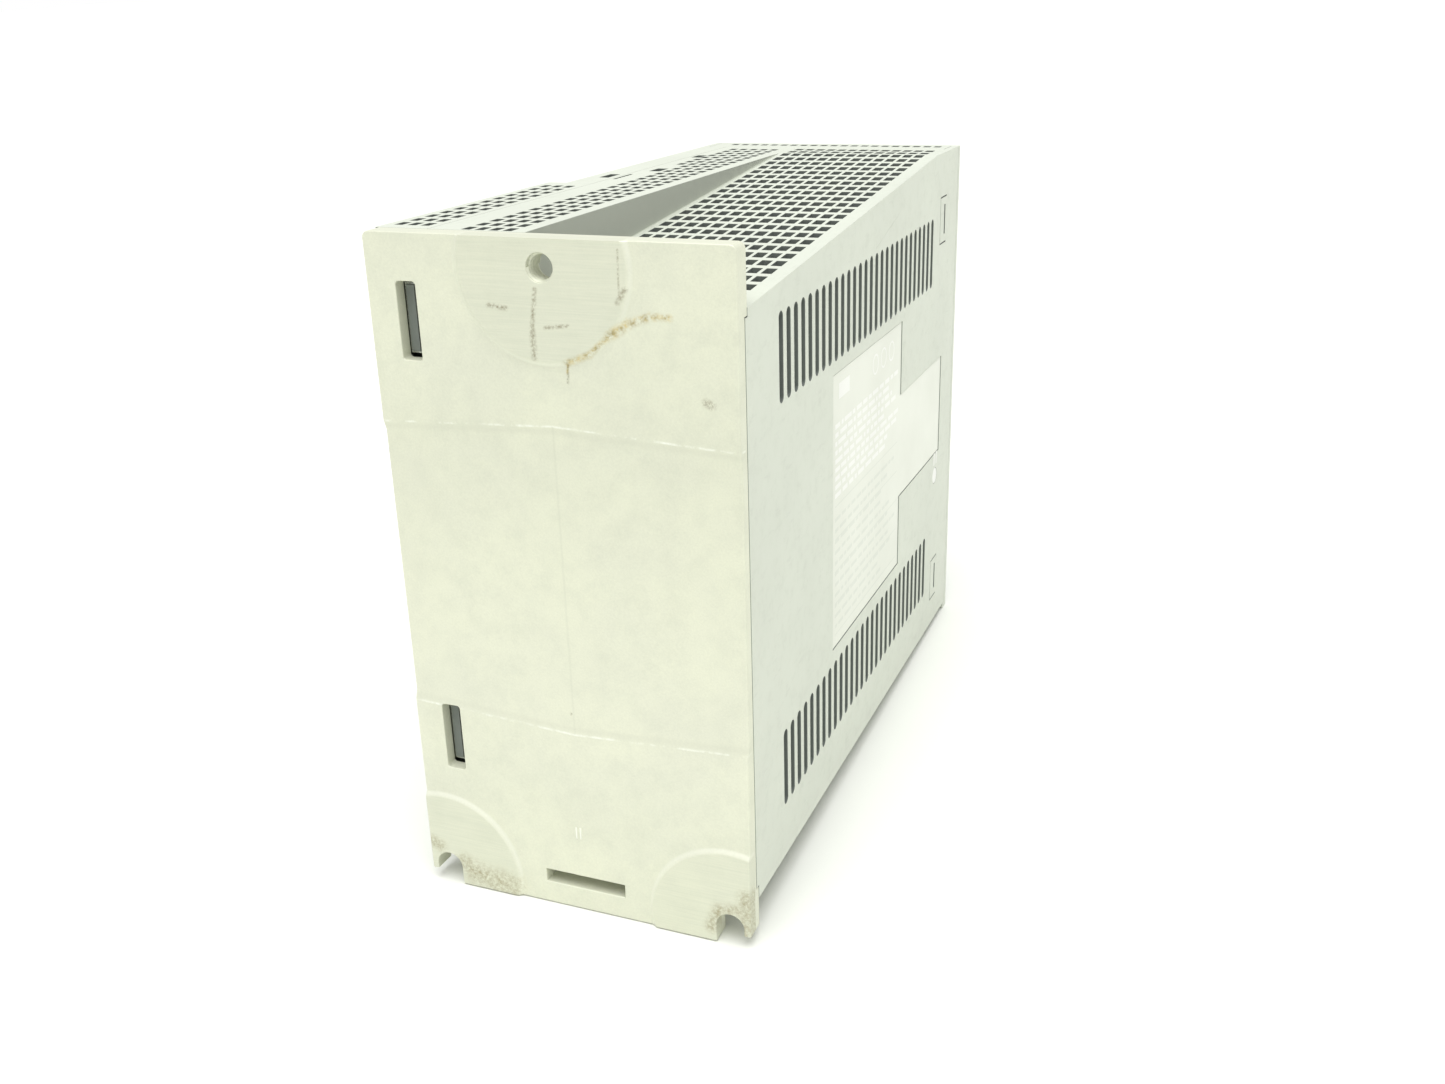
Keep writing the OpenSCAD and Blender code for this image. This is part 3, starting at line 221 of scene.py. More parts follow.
def make_die_cast_aluminium():
    """Die-cast aluminium: pale grey with wide clouds and a fine grain, milled pads with lines
    across them, and brown dirt in streaks and grit. Painted highlights give light rings round
    the pads and light lines along the milled field's edges and on the tool marks; painted
    shade gives darker bands inside those edges and a dark line down the field's middle."""
    material, shader, add, place = start_material("die-cast aluminium", Metallic=0.2)
    clouds = add("MapRange", [add("TexNoise", cells(place, 26, 5.0, 0.6)), 0.38, 0.62])
    patches = add("TexNoise", cells(place, 6, 5.0, 0.65))
    grain = add("TexNoise", cells(place, 0.5, 3.0, 0.7))
    base = add("MixRGB", [clouds, tint("#e2e4cf"), tint("#dddfcc")])
    base = add("MixRGB", [add("MapRange", [patches, 0.45, 0.75, 0.0, 0.45]), base, tint("#d3d6c4")])
    base = add("MixRGB", [1.0, base, add("MapRange", [grain, 0.3, 0.7, 0.95, 1.02])], blend_type="MULTIPLY")
    plain = base
    # painted shade: darker bands just inside the milled field's upper and lower edges
    painted_edge_shade = []
    for shift, ((x0, z0), (x1, z1)) in zip((1.2, 1.2, -1.2, -1.2), field_edges):
        painted_edge_shade.append(stroke(add, place, (x0, z0 - shift), (x1, z1 - shift), 1.3))
    painted_edge_shade = fold(add, "MAXIMUM", painted_edge_shade)
    base = add("MixRGB", [add("Math", [painted_edge_shade, 0.3], operation="MULTIPLY"), base, tint("#cfd1be")])
    # painted highlights: light lines along the milled field's edges and on the two tool marks
    painted_field_edge_highlights = fold(add, "MAXIMUM", [stroke(add, place, a, b, 0.45) for a, b in field_edges])
    painted_field_edge_highlights = broken(add, painted_field_edge_highlights, place, 5.0, 0.35, 0.55, 0.85)
    glints = fold(add, "MAXIMUM", [painted_field_edge_highlights, *[stroke(add, place, a, b, 0.4) for a, b in tool_mark_highlights]])
    base = add("MixRGB", [glints, base, tint("#f6f8ee")])
    # painted shade: a dark line down the middle of the field, where its two halves meet at a shallow ridge
    middle = stroke(add, place, (0, 125), (0, 49.5), 0.5)
    base = add("MixRGB", [add("Math", [middle, 0.25], operation="MULTIPLY"), base, tint("#c9ccb9")])
    flat = add("VectorMath", [place, (1, 0, 1)], operation="MULTIPLY")
    spots = [(x, 0, z) for x, _, z in pad_centres]
    reaches = [add("VectorMath", [flat, spot], give="Value", operation="DISTANCE") for spot in spots]
    reach = fold(add, "MINIMUM", reaches)
    drawn = add("Mapping", {"Vector": place, "Scale": (0.03, 1.0, 1.0)})
    lines = add("MapRange", [add("TexNoise", cells(drawn, 0.4, 3.0, 0.6)), 0.35, 0.7])
    milled = add("MixRGB", [lines, tint("#d9dbc7"), tint("#ccd0bc")])
    on_pad = add("MapRange", [reach, pad_radius - 0.2 * mm, pad_radius + 0.2 * mm, 0.55, 0.0])
    base = add("MixRGB", [on_pad, base, milled])
    # painted highlight: a light ring just outside each pad's rim
    off_rim = add("Math", [add("Math", [reach, pad_radius + 0.7 * mm], operation="SUBTRACT")], operation="ABSOLUTE")
    base = add("MixRGB", [add("MapRange", [off_rim, 0.1 * mm, 0.7 * mm, 0.3, 0.0]), base, tint("#edefe2")])
    runs = zip(streak_run[:-1], streak_run[1:], streak_width)
    streak = fold(add, "MAXIMUM", [stroke(add, place, *run) for run in runs])
    streak = broken(add, streak, place, 1.3, 0.62, 0.36, 0.85)
    tone = add("TexNoise", cells(place, 2.2, 3.0))
    ochre = add("MixRGB", [add("MapRange", [tone, 0.4, 0.6]), tint("#a08d4e"), tint("#d3bf7c")])
    base = add("MixRGB", [streak, base, ochre])
    marks = fold(add, "MAXIMUM", [stroke(add, place, *mark) for mark in scratches])
    marks = broken(add, marks, place, 0.6, 0.62, 0.40, 0.7)
    base = add("MixRGB", [marks, base, tint("#83775a")])
    grit = fold(add, "MAXIMUM", [stroke(add, place, *spot) for spot in grit_spots])
    grit = broken(add, grit, place, 0.9, 0.66, 0.36, 0.8)
    base = add("MixRGB", [grit, base, tint("#a39a76")])
    outer = add("Math", [add("SeparateXYZ", [place], give="Y"), plate_middle], operation="GREATER_THAN")
    base = add("MixRGB", [outer, plain, base])
    dirt = add("Math", [outer, fold(add, "MAXIMUM", [streak, marks, grit])], operation="MULTIPLY")
    rough = add("MapRange", [patches, 0.3, 0.7, 0.42, 0.58])
    rough = add("MixRGB", [dirt, rough, (0.9, 0.9, 0.9, 1.0)])
    height = add("Math", [grain, add("TexNoise", cells(place, 2.6, 4.0, 0.65))], operation="ADD")
    height = add("Math", [dirt, 2.0, height], operation="MULTIPLY_ADD")
    surface(shader, add, base, rough, height, 0.03)
    return material


cast_metal = make_die_cast_aluminium()
refined("rear_plate", 0.3, cast_metal, segments=3)


# ---- Thread in the upper hole and casting marks ----
# The upper hole was tapped, so its wall carries worn thread crests. Two short raised bars
# low on the plate's middle line are the mould's tool mark.
def grid(points, wrap_rows=False, wrap_columns=False):
    """Corners and faces of a grid of points: each cell is one face, the last row or column
    joins the first where it wraps, and otherwise the first and last rows are closed."""
    rows, columns = points.shape[:2]
    i, j = np.arange(rows - (not wrap_rows)), np.arange(columns - (not wrap_columns))
    a, b = [m.ravel() for m in np.meshgrid(i, j, indexing="ij")]
    c, d = (a + 1) % rows, (b + 1) % columns
    corners = [a * columns + b, c * columns + b, c * columns + d, a * columns + d]
    faces = np.stack(corners, axis=-1).tolist()
    if not wrap_rows:
        faces += [list(range(columns)), list(range((rows - 1) * columns, rows * columns))]
    return points.reshape(-1, 3), faces


def build(name, parts, material, replaces=(), body="unit", smooth=40):
    """One piece from closed surfaces given in metres: doubles are merged, faces are turned
    outwards, and edges over the smooth angle stay sharp. It rides on the body."""
    corners, faces, first = [], [], 0
    for points, cells_of in parts:
        corners.append(points)
        faces += [[first + k for k in cell] for cell in cells_of]
        first += len(points)
    mesh = bpy.data.meshes.new(name)
    mesh.from_pydata(np.concatenate(corners).tolist(), [], faces)
    shape = bmesh.new()
    shape.from_mesh(mesh)
    bmesh.ops.remove_doubles(shape, verts=shape.verts, dist=0.002 * mm)
    bmesh.ops.recalc_face_normals(shape, faces=shape.faces)
    shape.to_mesh(mesh)
    shape.free()
    mesh.shade_smooth()
    mesh.set_sharp_from_angle(angle=math.radians(smooth))
    mesh.materials.append(material)
    piece = bpy.data.objects.new(name, mesh)
    bpy.context.scene.collection.objects.link(piece)
    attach(piece, body)
    if replaces:
        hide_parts(*replaces)
    return piece


def sweep(path, outward, profile, closed=False):
    """A profile of (out, across) offsets in metres carried along a path: out follows the
    outward direction made square to the path, and across is square to both."""
    ahead = np.roll(path, -1, 0) - np.roll(path, 1, 0) if closed else np.gradient(path, axis=0)
    ahead /= np.linalg.norm(ahead, axis=1, keepdims=True)
    out = outward - (outward * ahead).sum(1, keepdims=True) * ahead
    out /= np.linalg.norm(out, axis=1, keepdims=True)
    side = np.cross(ahead, out)
    profile = np.asarray(profile, float)
    rings = path[:, None] + out[:, None] * profile[None, :, :1] + side[:, None] * profile[None, :, 1:]
    return grid(rings, wrap_rows=closed, wrap_columns=True)


def rounded_box(low, high, radius, steps=2):
    """A box with round edges, given in millimetres: directions on a sphere, taken quarter by
    quarter, are scaled by the radius and set on the corners of a box smaller by the radius."""
    low, high = np.array(low, float) * mm, np.array(high, float) * mm
    radius = min(radius * mm, (high - low).min() / 2.001)
    quarter = np.linspace(0, math.pi / 2, steps + 1)
    around = np.concatenate([quarter + k * math.pi / 2 for k in range(4)])
    sign_x = np.repeat([1, -1, -1, 1], steps + 1)
    sign_y = np.repeat([1, 1, -1, -1], steps + 1)
    rise = np.concatenate([quarter - math.pi / 2, quarter])
    sign_z = np.repeat([-1, 1], steps + 1)
    flat = np.cos(rise)[:, None]
    ball = np.stack([flat * np.cos(around), flat * np.sin(around), np.sin(rise)[:, None] + 0 * around], -1)
    signs = np.stack(np.broadcast_arrays(sign_x[None, :], sign_y[None, :], sign_z[:, None]), -1)
    points = (low + high) / 2 + signs * ((high - low) / 2 - radius) + radius * ball
    return grid(points, wrap_columns=True)


def box_mm(node):
    """A CAD node's lowest and highest corners in millimetres."""
    return [np.array(corner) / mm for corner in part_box(node)]


hole = np.array(mounts["mounting_hole"])
thread_turns = 5
thread_radius = 3.16 * mm
thread_turn = np.linspace(0, thread_turns * 2 * math.pi, 48 * thread_turns + 1)
thread_out = np.stack([np.cos(thread_turn), 0 * thread_turn, np.sin(thread_turn)], -1)
thread_rise = (thread_turn / (2 * math.pi) - 2.6) * mm
thread_path = hole + thread_out * thread_radius + np.stack([0 * thread_rise, thread_rise, 0 * thread_rise], -1)
thread_crest = np.array([(0.05, -0.42), (-0.4, -0.06), (-0.4, 0.06), (0.05, 0.42)]) * mm
build("hole_thread", [sweep(thread_path, thread_out, thread_crest)], cast_metal)
skin = box_mm("rear_plate")[1][1] - 0.8
tick_bars = [rounded_box((x, skin - 0.2, 20.4), (x + 0.4, skin + 0.2, 23.6), 0.12) for x in (0.1, 1.2)]
build("casting_marks", tick_bars, cast_metal)

# ---- Casing, side cover, front cover and terminal flap ----
# Injection-moulded light grey plastic with a fine spark-eroded texture. The covers snap
# together, so only a hairline seam shows. Inside the vents and openings the colour is dark
# with painted shade, and the roof's riser is dimmed by painted shade. The flap is a shade darker.
casing_low, casing_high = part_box("front_cover")
casing_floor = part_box("housing")[0].z
roof_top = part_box("rear_plate")[1].z
# the casing's own sizes: where the roof steps, how far and from where to where it slopes
step_x = 6.0 * mm
roof_drop = 13.4 * mm
slope_start = -67.5 * mm
slope_end = 91.3 * mm
chamfer = 5.5 * mm
chamfer_end = 11.0 * mm


def depth_inside(add, place):
    """Depth below the casing's outer faces: the least of the depths below the level roof, the
    slope on its own side of the step, the chamfer, both sides, the floor and the front. Also
    gives 1 on the riser between slope and deck, which stands above the slope, and 0 elsewhere."""
    x, y, z = (add("SeparateXYZ", [place], give=k) for k in range(3))
    level = add("Math", [roof_top, z], operation="SUBTRACT")
    run = math.hypot(roof_drop, slope_end - slope_start)
    normal = (0.0, roof_drop / run, (slope_end - slope_start) / run)
    start = normal[1] * slope_start + normal[2] * roof_top
    slope = add("VectorMath", [place, normal], give="Value", operation="DOT_PRODUCT")
    slope = fold(add, "MINIMUM", [level, add("Math", [start, slope], operation="SUBTRACT")])
    on_slope = add("Math", [x, step_x + 0.3 * mm], operation="LESS_THAN")
    riser = add("Math", [on_slope, add("Math", [slope, -0.3 * mm], operation="LESS_THAN")], operation="MULTIPLY")
    roof = add("Mix", {0: on_slope, 2: level, 3: slope})
    corner = add("Math", [add("Math", [x, z]), -1.0, casing_high.x + roof_top - chamfer], operation="MULTIPLY_ADD")
    behind = add("Math", [y, chamfer_end + 0.3 * mm], operation="GREATER_THAN")
    corner = add("Math", [corner, behind])
    pairs = ([x, casing_low.x], [casing_high.x, x], [z, casing_floor], [y, casing_low.y])
    faces = [add("Math", pair, operation="SUBTRACT") for pair in pairs]
    return fold(add, "MINIMUM", [roof, corner, *faces]), riser


def moulded(name, colour, roughness=0.5, grain_mm=0.3, depth_mm=0.01, wear=0.3, vents_from=None, **constants):
    """Moulded plastic: the colour with slow clouds a little darker, faint rubbed marks drawn
    out along the surface, and a fine grain in the relief. Where vents are asked for, painted
    shade darkens it below the outer faces, from the height given upwards, and painted shade
    dims the riser."""
    material, shader, add, place = start_material(name, **constants)
    clouds = add("MapRange", [add("TexNoise", cells(place, 40, 4.0)), 0.35, 0.65])
    dust = add("TexNoise", cells(place, 3.5, 5.0, 0.7))
    grain = add("TexNoise", cells(place, grain_mm, 2.0, 0.6))
    base = add("MixRGB", [clouds, tint(colour), tint(colour, 0.95)])
    drawn = add("Mapping", {"Vector": place, "Scale": (1.0, 0.1, 0.35)})
    rubbed = add("MapRange", [add("TexNoise", cells(drawn, 0.8, 3.0, 0.7)), 0.58, 0.75, 0.0, wear * 0.6])
    base = add("MixRGB", [rubbed, base, tint(colour, 0.55)])
    soiled = add("MapRange", [dust, 0.52, 0.75, 0.0, wear * 0.5])
    base = add("MixRGB", [soiled, base, tint(colour, 0.6)])
    if vents_from is not None:
        depth, riser = depth_inside(add, place)
        # painted shade: the riser between the sloping roof and the deck is darkened
        base = add("MixRGB", [riser, base, tint(colour, 0.68)])
        # painted shade: faces more than 0.02 mm below the outer faces, in vents and openings, turn dark grey above
        # the given height
        shade = add("MapRange", [depth, 0.02 * mm, 0.14 * mm], interpolation_type="SMOOTHSTEP")
        height = add("SeparateXYZ", [place], give="Z")
        above = add("Math", [height, vents_from], operation="GREATER_THAN")
        shade = add("Math", [shade, above], operation="MULTIPLY")
        base = add("MixRGB", [shade, base, tint("#757b76")])
    rough = add("MapRange", [dust, 0.3, 0.7, roughness - 0.06, roughness + 0.08])
    surface(shader, add, base, rough, grain, depth_mm)
    return material


casing_grey = moulded("moulded grey ABS", "#d6dbcd", 0.46, vents_from=0.0)
front_grey = moulded("moulded grey ABS of the front cover", "#d6dbcd", 0.46, vents_from=63 * mm)
flap_grey = moulded("moulded darker grey ABS", "#c9cec3", 0.42)
refined("housing", 0.1, casing_grey)
refined("side_cover", 0.1, casing_grey)
refined("front_cover", 0.14, front_grey)
refined("terminal_flap", 0.25, flap_grey, segments=3)

# ---- Rating label, front label and sticker ----
# Polyester films, die-cut and stuck into their recesses. The rating label is near white with
# rows of small print, drawn here as plain bars, and the front film is dark grey with a pale
# legend of bars, rings and rules beside each control. The round sticker is an inspector's dot.
def printed_film(name, colour, roughness):
    """Printed film: an even colour with faint clouds, a slightly wavy satin surface and a thin
    clear coat."""
    material, shader, add, place = start_material(name, Coat_Weight=0.25, Coat_Roughness=0.2)
    clouds = add("MapRange", [add("TexNoise", cells(place, 22, 3.0)), 0.35, 0.65])
    specks = add("MapRange", [add("TexNoise", cells(place, 0.7, 3.0, 0.7)), 0.62, 0.8, 0.0, 0.25])
    base = add("MixRGB", [clouds, tint(colour), tint(colour, 0.96)])
    base = add("MixRGB", [specks, base, tint(colour, 0.8)])
    waves = add("TexNoise", cells(place, 9, 2.0))
    rough = add("MapRange", [clouds, 0.0, 1.0, roughness, roughness + 0.1])
    surface(shader, add, base, rough, waves, 0.05, 0.6)
    return material


def slab(low, high):
    """A thin flat box given in millimetres, for one printed bar."""
    low, high = np.array(low, float) * mm, np.array(high, float) * mm
    square = np.array([(0, 0), (1, 0), (1, 1), (0, 1)], float)
    ends = [np.column_stack([square, np.full(4, k)]) for k in (0.0, 1.0)]
    return grid(low + np.stack(ends) * (high - low), wrap_columns=True)


def ring(centre, radius, width, side, thick=0.03, count=28):
    """A printed ring round a centre in millimetres, lying flat on a side or front face."""
    turn = np.linspace(0, 2 * math.pi, count, endpoint=False)
    zero = 0 * turn
    around = [zero, np.cos(turn), np.sin(turn)] if side == "x" else [np.cos(turn), zero, np.sin(turn)]
    out = np.stack(around, -1)
    half, thin = width / 2 * mm, thick / 2 * mm
    profile = [(-half, -thin), (half, -thin), (half, thin), (-half, thin)]
    return sweep(np.array(centre) * mm + out * radius * mm, out, profile, closed=True)


def greeked(draw, left, right, top, rows, pitch, tall):
    """Rows of bars that stand for words: each bar's length and gap are drawn at random until
    the row is full. Gives (start, end, low, high) for each bar."""
    bars = []
    for row in range(rows):
        start = left
        end = right - draw.uniform(0, 0.35) * (right - left)
        while start < end:
            length = draw.uniform(1.5, 6.5)
            bars.append((start, min(start + length, right), top - row * pitch - tall, top - row * pitch))
            start += length + draw.uniform(0.8, 1.6)
    return bars


rating_film = printed_film("printed white polyester", "#e4e7da", 0.34)
legend_white = printed_film("white printing ink", "#f4f5ef", 0.5)
legend_grey = printed_film("pale grey printing ink", "#dde1d5", 0.5)
front_film = printed_film("printed dark polycarbonate film", "#4a5156", 0.42)
refined("rating_label", 0.03, rating_film)
refined("front_label", 0.03, front_film)
refined("side_sticker", 0.03, legend_white)
draw = np.random.default_rng(11)
film_x = box_mm("rating_label")[0][0]
label_margin = 2
label_back = box_mm("rating_label")[1][1] - label_margin
label_top = box_mm("rating_label")[1][2] - label_margin
ring_radius = 2.6


def side_mark(start, end, low, high):
    """One printed bar on the rating label, given by how far it starts and ends from the
    label's back edge, and by its bottom and top."""
    return slab((film_x - 0.01, label_back - end, low), (film_x + 0.03, label_back - start, high))


side_print = [side_mark(*bar) for bar in greeked(draw, 0, 60, label_top - 11, 9, 2.3, 1.2)]
side_print += [ring((film_x, label_back - 36 - 8 * k, label_top - 4), ring_radius, 0.5, "x") for k in range(3)]
side_print.append(side_mark(3, 12, label_top - 5, label_top - 1))
casing_x = box_mm("housing")[0][0]
dot_low, dot_high = box_mm("side_sticker")
for y in (dot_low[1] + 0.4, dot_low[1] + 3.2):
    side_print.append(slab((casing_x - 0.01, y, dot_high[2] + 1.2), (casing_x + 0.1, y + 1.3, dot_high[2] + 5.2)))
build("rating_print", side_print, legend_white)
side_print = [side_mark(*bar) for bar in greeked(draw, 0, 58, label_top - 36, 11, 3.0, 1.0)]
rules = [label_top - 33 - k * 9 for k in range(5)]
side_print += [side_mark(0, 60, z, z + 0.3) for z in rules]
build("rating_table_print", side_print, legend_grey)

face = box_mm("front_label")[0][1]
pipes_low, pipes_high = box_mm("light_pipes")
led_x = (pipes_low[0] + pipes_high[0]) / 2
led_pitch = 7
led_z = [pipes_high[2] - 1.5 - led_pitch * k for k in range(3)]
trim_x, trim_z = led_x, sum(box_mm("trimmer_body"))[2] / 2
plug_box = box_mm("signal_plug")
dip_box = box_mm("mode_switch_body")
pick_box = box_mm("selector_body")


def mark(x0, x1, z0, z1):
    """One printed bar on the front film, given by its sides and its top and bottom."""
    return slab((x0, face - 0.02, z0), (x1, face + 0.03, z1))


legend = [mark(led_x + 4, led_x + 4 + length, z - 0.6, z + 0.6) for z, length in zip(led_z, (11, 8, 14))]
legend += [ring((led_x, face, z), ring_radius, 0.35, "y") for z in led_z]
legend.append(ring((trim_x, face, trim_z), 4.9, 0.4, "y"))
for turn in np.radians(np.arange(-135, 136, 45)):
    tip = np.array([trim_x + 6.4 * math.sin(turn), face, trim_z + 6.4 * math.cos(turn)])
    legend.append(rounded_box(tip - (0.35, 0.02, 0.35), tip + (0.35, 0.03, 0.35), 0.02))
legend += [mark(trim_x + 9, trim_x + 21, trim_z - 0.7, trim_z + 0.7)]
for z, length in ((dip_box[0][2] + 1.2, 12), (dip_box[1][2] - 2.2, 9)):
    legend.append(mark(dip_box[1][0] + 2, dip_box[1][0] + 2 + length, z, z + 1))
legend += [mark(pick_box[0][0] - 1, pick_box[0][0] + 4, pick_box[1][2] + 1, pick_box[1][2] + 2)]
legend += [mark(pick_box[1][0] - 4, pick_box[1][0] + 1, pick_box[1][2] + 1, pick_box[1][2] + 2)]
for k in range(3):
    left = plug_box[0][0] + 1 + 5 * k
    legend.append(mark(left, left + 3.4, plug_box[1][2] + 1.6, plug_box[1][2] + 2.6))
# two headings, a rule below and above the controls, and one between the two columns
legend += [mark(-2, 34, 121, 122.2), mark(-2, 20, 116.5, 117.5)]
legend += [mark(-36, 36, 66.8, 67.1), mark(-36, 36, 123.6, 123.9), mark(-2.2, -1.9, 69, 114)]
build("front_print", legend, legend_white)


# ---- Screws, clips and other plated parts ----
# Bought-in steel screws with cross recesses, zinc plated, and spring steel clips: on the
# devices, and as bands round the side cover's arms, seen through the plate's windows.
# Terminal tabs, signal pins and fuse clips are tinned brass.
def plated(name, bright, dull, roughness=0.3, relief_mm=0.01, metallic=1.0):
    """Plated sheet or screw metal: a bright and a dull tone in small clouds, fine lines from
    rolling drawn out along one way, and darker specks where the plating has dulled."""
    material, shader, add, place = start_material(name, Metallic=metallic)
    clouds = add("MapRange", [add("TexNoise", cells(place, 1.8, 4.0, 0.65)), 0.35, 0.65])
    drawn = add("Mapping", {"Vector": place, "Scale": (1.0, 0.12, 1.0)})
    lines = add("TexNoise", cells(drawn, 0.2, 3.0, 0.6))
    specks = add("MapRange", [add("TexNoise", cells(place, 0.4, 3.0, 0.7)), 0.6, 0.78, 0.0, 0.4])
    base = add("MixRGB", [clouds, tint(bright), tint(dull)])
    base = add("MixRGB", [specks, base, tint(dull, 0.6)])
    rough = add("MapRange", [lines, 0.3, 0.7, roughness - 0.08, roughness + 0.12])
    surface(shader, add, base, rough, lines, relief_mm)
    return material


zinc = plated("zinc-plated steel", "#d5d8d6", "#b4b7b4", 0.28)
spring = plated("bright spring steel", "#c9ccca", "#a3a6a4", 0.24)
brass = plated("tinned brass", "#d6cdae", "#b9ae88", 0.3)
for node in ("plate_screws", "board_screws", "terminal_screws", "clip_screws", "signal_plug_screws"):
    refined(node, 0.22, zinc)
refined("terminal_washers", 0.12, zinc)
refined("device_leads", 0.08, zinc)
refined("cover_clips", 0.08, spring)
refined("device_clips", 0.1, spring)
refined("terminal_tabs", 0.1, brass)
refined("signal_pins", 0.1, brass)
refined("fuse_clips", 0.08, brass)

# ---- Terminals, plug and front controls ----
# Glass-filled plastic mouldings on the front board: the black terminal strip, the green
# socket with its pull-out plug, the trimmer with its turning cap, the selector and the two
# small mode switches. Clear light pipes lead from the lamps to the front.
strip_black = moulded("black glass-filled polyamide", "#2a2c2f", 0.5, 0.35, 0.012, wear=0.5)
socket_green = moulded("green polyamide", "#3f7a52", 0.42, 0.3, 0.01, wear=0.4)
trimmer_blue = moulded("blue moulded plastic", "#2f62a8", 0.32, 0.3, 0.006, wear=0.3)
slider_red = moulded("red moulded plastic", "#b2392e", 0.34, 0.3, 0.006, wear=0.3)
slider_white = moulded("white moulded plastic", "#ecebe0", 0.34, 0.3, 0.006, wear=0.4)
refined("terminal_strip", 0.25, strip_black)
refined("selector_body", 0.2, strip_black)
refined("board_link", 0.3, strip_black)
refined("signal_socket", 0.25, socket_green)
refined("signal_plug", 0.3, socket_green)
refined("trimmer_body", 0.3, trimmer_blue)
refined("mode_switch_body", 0.2, trimmer_blue)
refined("selector_slider", 0.2, slider_red)
for node in ("trimmer_rotor", "mode_switch_1", "mode_switch_2"):
    refined(node, 0.2, slider_white)


def clear(name, colour, roughness, transmission):
    """Clear or tinted transparent material: an even colour with faint clouds, smooth with a
    few hairline scratches in its roughness, and the share of light it lets through."""
    material, shader, add, place = start_material(name, Transmission_Weight=transmission, IOR=1.49)
    clouds = add("TexNoise", cells(place, 2.5, 3.0))
    base = add("MixRGB", [clouds, tint(colour), tint(colour, 0.9)])
    drawn = add("Mapping", {"Vector": place, "Scale": (1.0, 0.1, 1.0)})
    hair = add("MapRange", [add("TexNoise", cells(drawn, 0.15, 3.0, 0.7)), 0.5, 0.8, roughness, roughness + 0.25])
    fill(shader, {"Base Color": base, "Roughness": hair})
    return material


def turned(start, along, profile, count=40):
    """A turned shape: a profile of (distance along, radius) in millimetres spun round an axis
    from a start point, and closed at both ends."""
    along = np.array(along, float)
    square = np.array([0.0, 0.0, 1.0]) if abs(along[2]) < 0.5 else np.array([1.0, 0.0, 0.0])
    third = np.cross(along, square)
    turn = np.linspace(0, 2 * math.pi, count, endpoint=False)
    around = np.cos(turn)[:, None] * square + np.sin(turn)[:, None] * third
    rings = [np.array(start) + along * step + around * radius for step, radius in profile]
    return grid(np.array(rings) * mm, wrap_columns=True)


def dome(length, radius, crown, steps=6):
    """Profile of a rod from 0 to its length, with a crown that bulges by the height given at
    the far end: quarter turn from the rim to near the middle."""
    rise = np.linspace(0, math.pi / 2 * 0.96, steps)
    cap = [(length - crown + crown * math.sin(a), radius * math.cos(a)) for a in rise]
    return [(0.0, radius - 0.1), (0.1, radius), *cap]


pipe_r = (pipes_high[0] - pipes_low[0]) / 2
lamp_back = box_mm("status_leds")[1][1]
lamp_front = box_mm("status_leds")[0][1]
pipe_start = [(led_x, pipes_high[1], z) for z in led_z]
pipe_long = pipes_high[1] - pipes_low[1]
acrylic = clear("clear acrylic", "#eef4ef", 0.05, 0.9)
rods = [turned(p, (0, -1, 0), dome(pipe_long, pipe_r, 0.7), 32) for p in pipe_start]
build("light_pipe_rods", rods, acrylic, ["light_pipes"])
lamp_green = clear("green tinted epoxy", "#7fd58c", 0.12, 0.4)
lens_r = pipe_r - 0.2
lens = [(0, pipe_r), (0.9, pipe_r), (1.0, lens_r), *dome(lamp_back - lamp_front, lens_r, 1.2)[2:]]
lamps = [turned((led_x, lamp_back, z), (0, -1, 0), lens, 32) for z in led_z]
build("lamp_lenses", lamps, lamp_green, ["status_leds"])

# ---- Circuit boards and small parts ----
# Glass epoxy boards with copper areas and tracks under green solder mask. Small chip parts
# and integrated circuits are soldered between the large ones, where there is room.
def make_solder_mask():
    """Solder mask over copper: areas of copper in steps of a coarse grid show lighter, cut by
    tracks along and across, with a slow variation and a slightly wavy gloss."""
    material, shader, add, place = start_material("green solder mask", Coat_Weight=0.4, Coat_Roughness=0.15)
    snapped = add("VectorMath", [place, (1.0, 2.54 * mm, 2.54 * mm)], operation="SNAP")
    areas = add("Math", [add("TexNoise", cells(snapped, 17, 2.0)), 0.52], operation="GREATER_THAN")
    tracks = []
    for turn in ((0.0, 0.0, 0.0), (math.pi / 2, 0.0, 0.0)):
        turned_place = add("Mapping", {"Vector": place, "Rotation": turn})
        wave = add("TexWave", {"Vector": turned_place, "Scale": 0.2 / mm}, give="Fac", bands_direction="Z")
        zone = add("VectorMath", [turned_place, (1.0, 9 * mm, 5 * mm)], operation="SNAP")
        zone = add("TexNoise", cells(zone, 11, 1.0))
        track = add("Math", [wave, 0.72], operation="GREATER_THAN")
        tracks.append(add("Math", [track, add("Math", [zone, 0.56], operation="GREATER_THAN")], operation="MULTIPLY"))
    copper = fold(add, "MAXIMUM", [add("Math", [areas, 0.7], operation="MULTIPLY"), *tracks])
    clouds = add("TexNoise", cells(place, 14, 3.0))
    base = add("MixRGB", [clouds, tint("#1f5a36"), tint("#2a6841")])
    base = add("MixRGB", [copper, base, tint("#3d8156")])
    rough = add("MapRange", [clouds, 0.3, 0.7, 0.25, 0.4])
    surface(shader, add, base, rough, copper, 0.05, 0.8)
    return material


solder_mask = make_solder_mask()
refined("main_board", 0.1, solder_mask, 1)
refined("front_board", 0.1, solder_mask, 1)
board_low, board_high = box_mm("main_board")
comp_x = board_high[0]
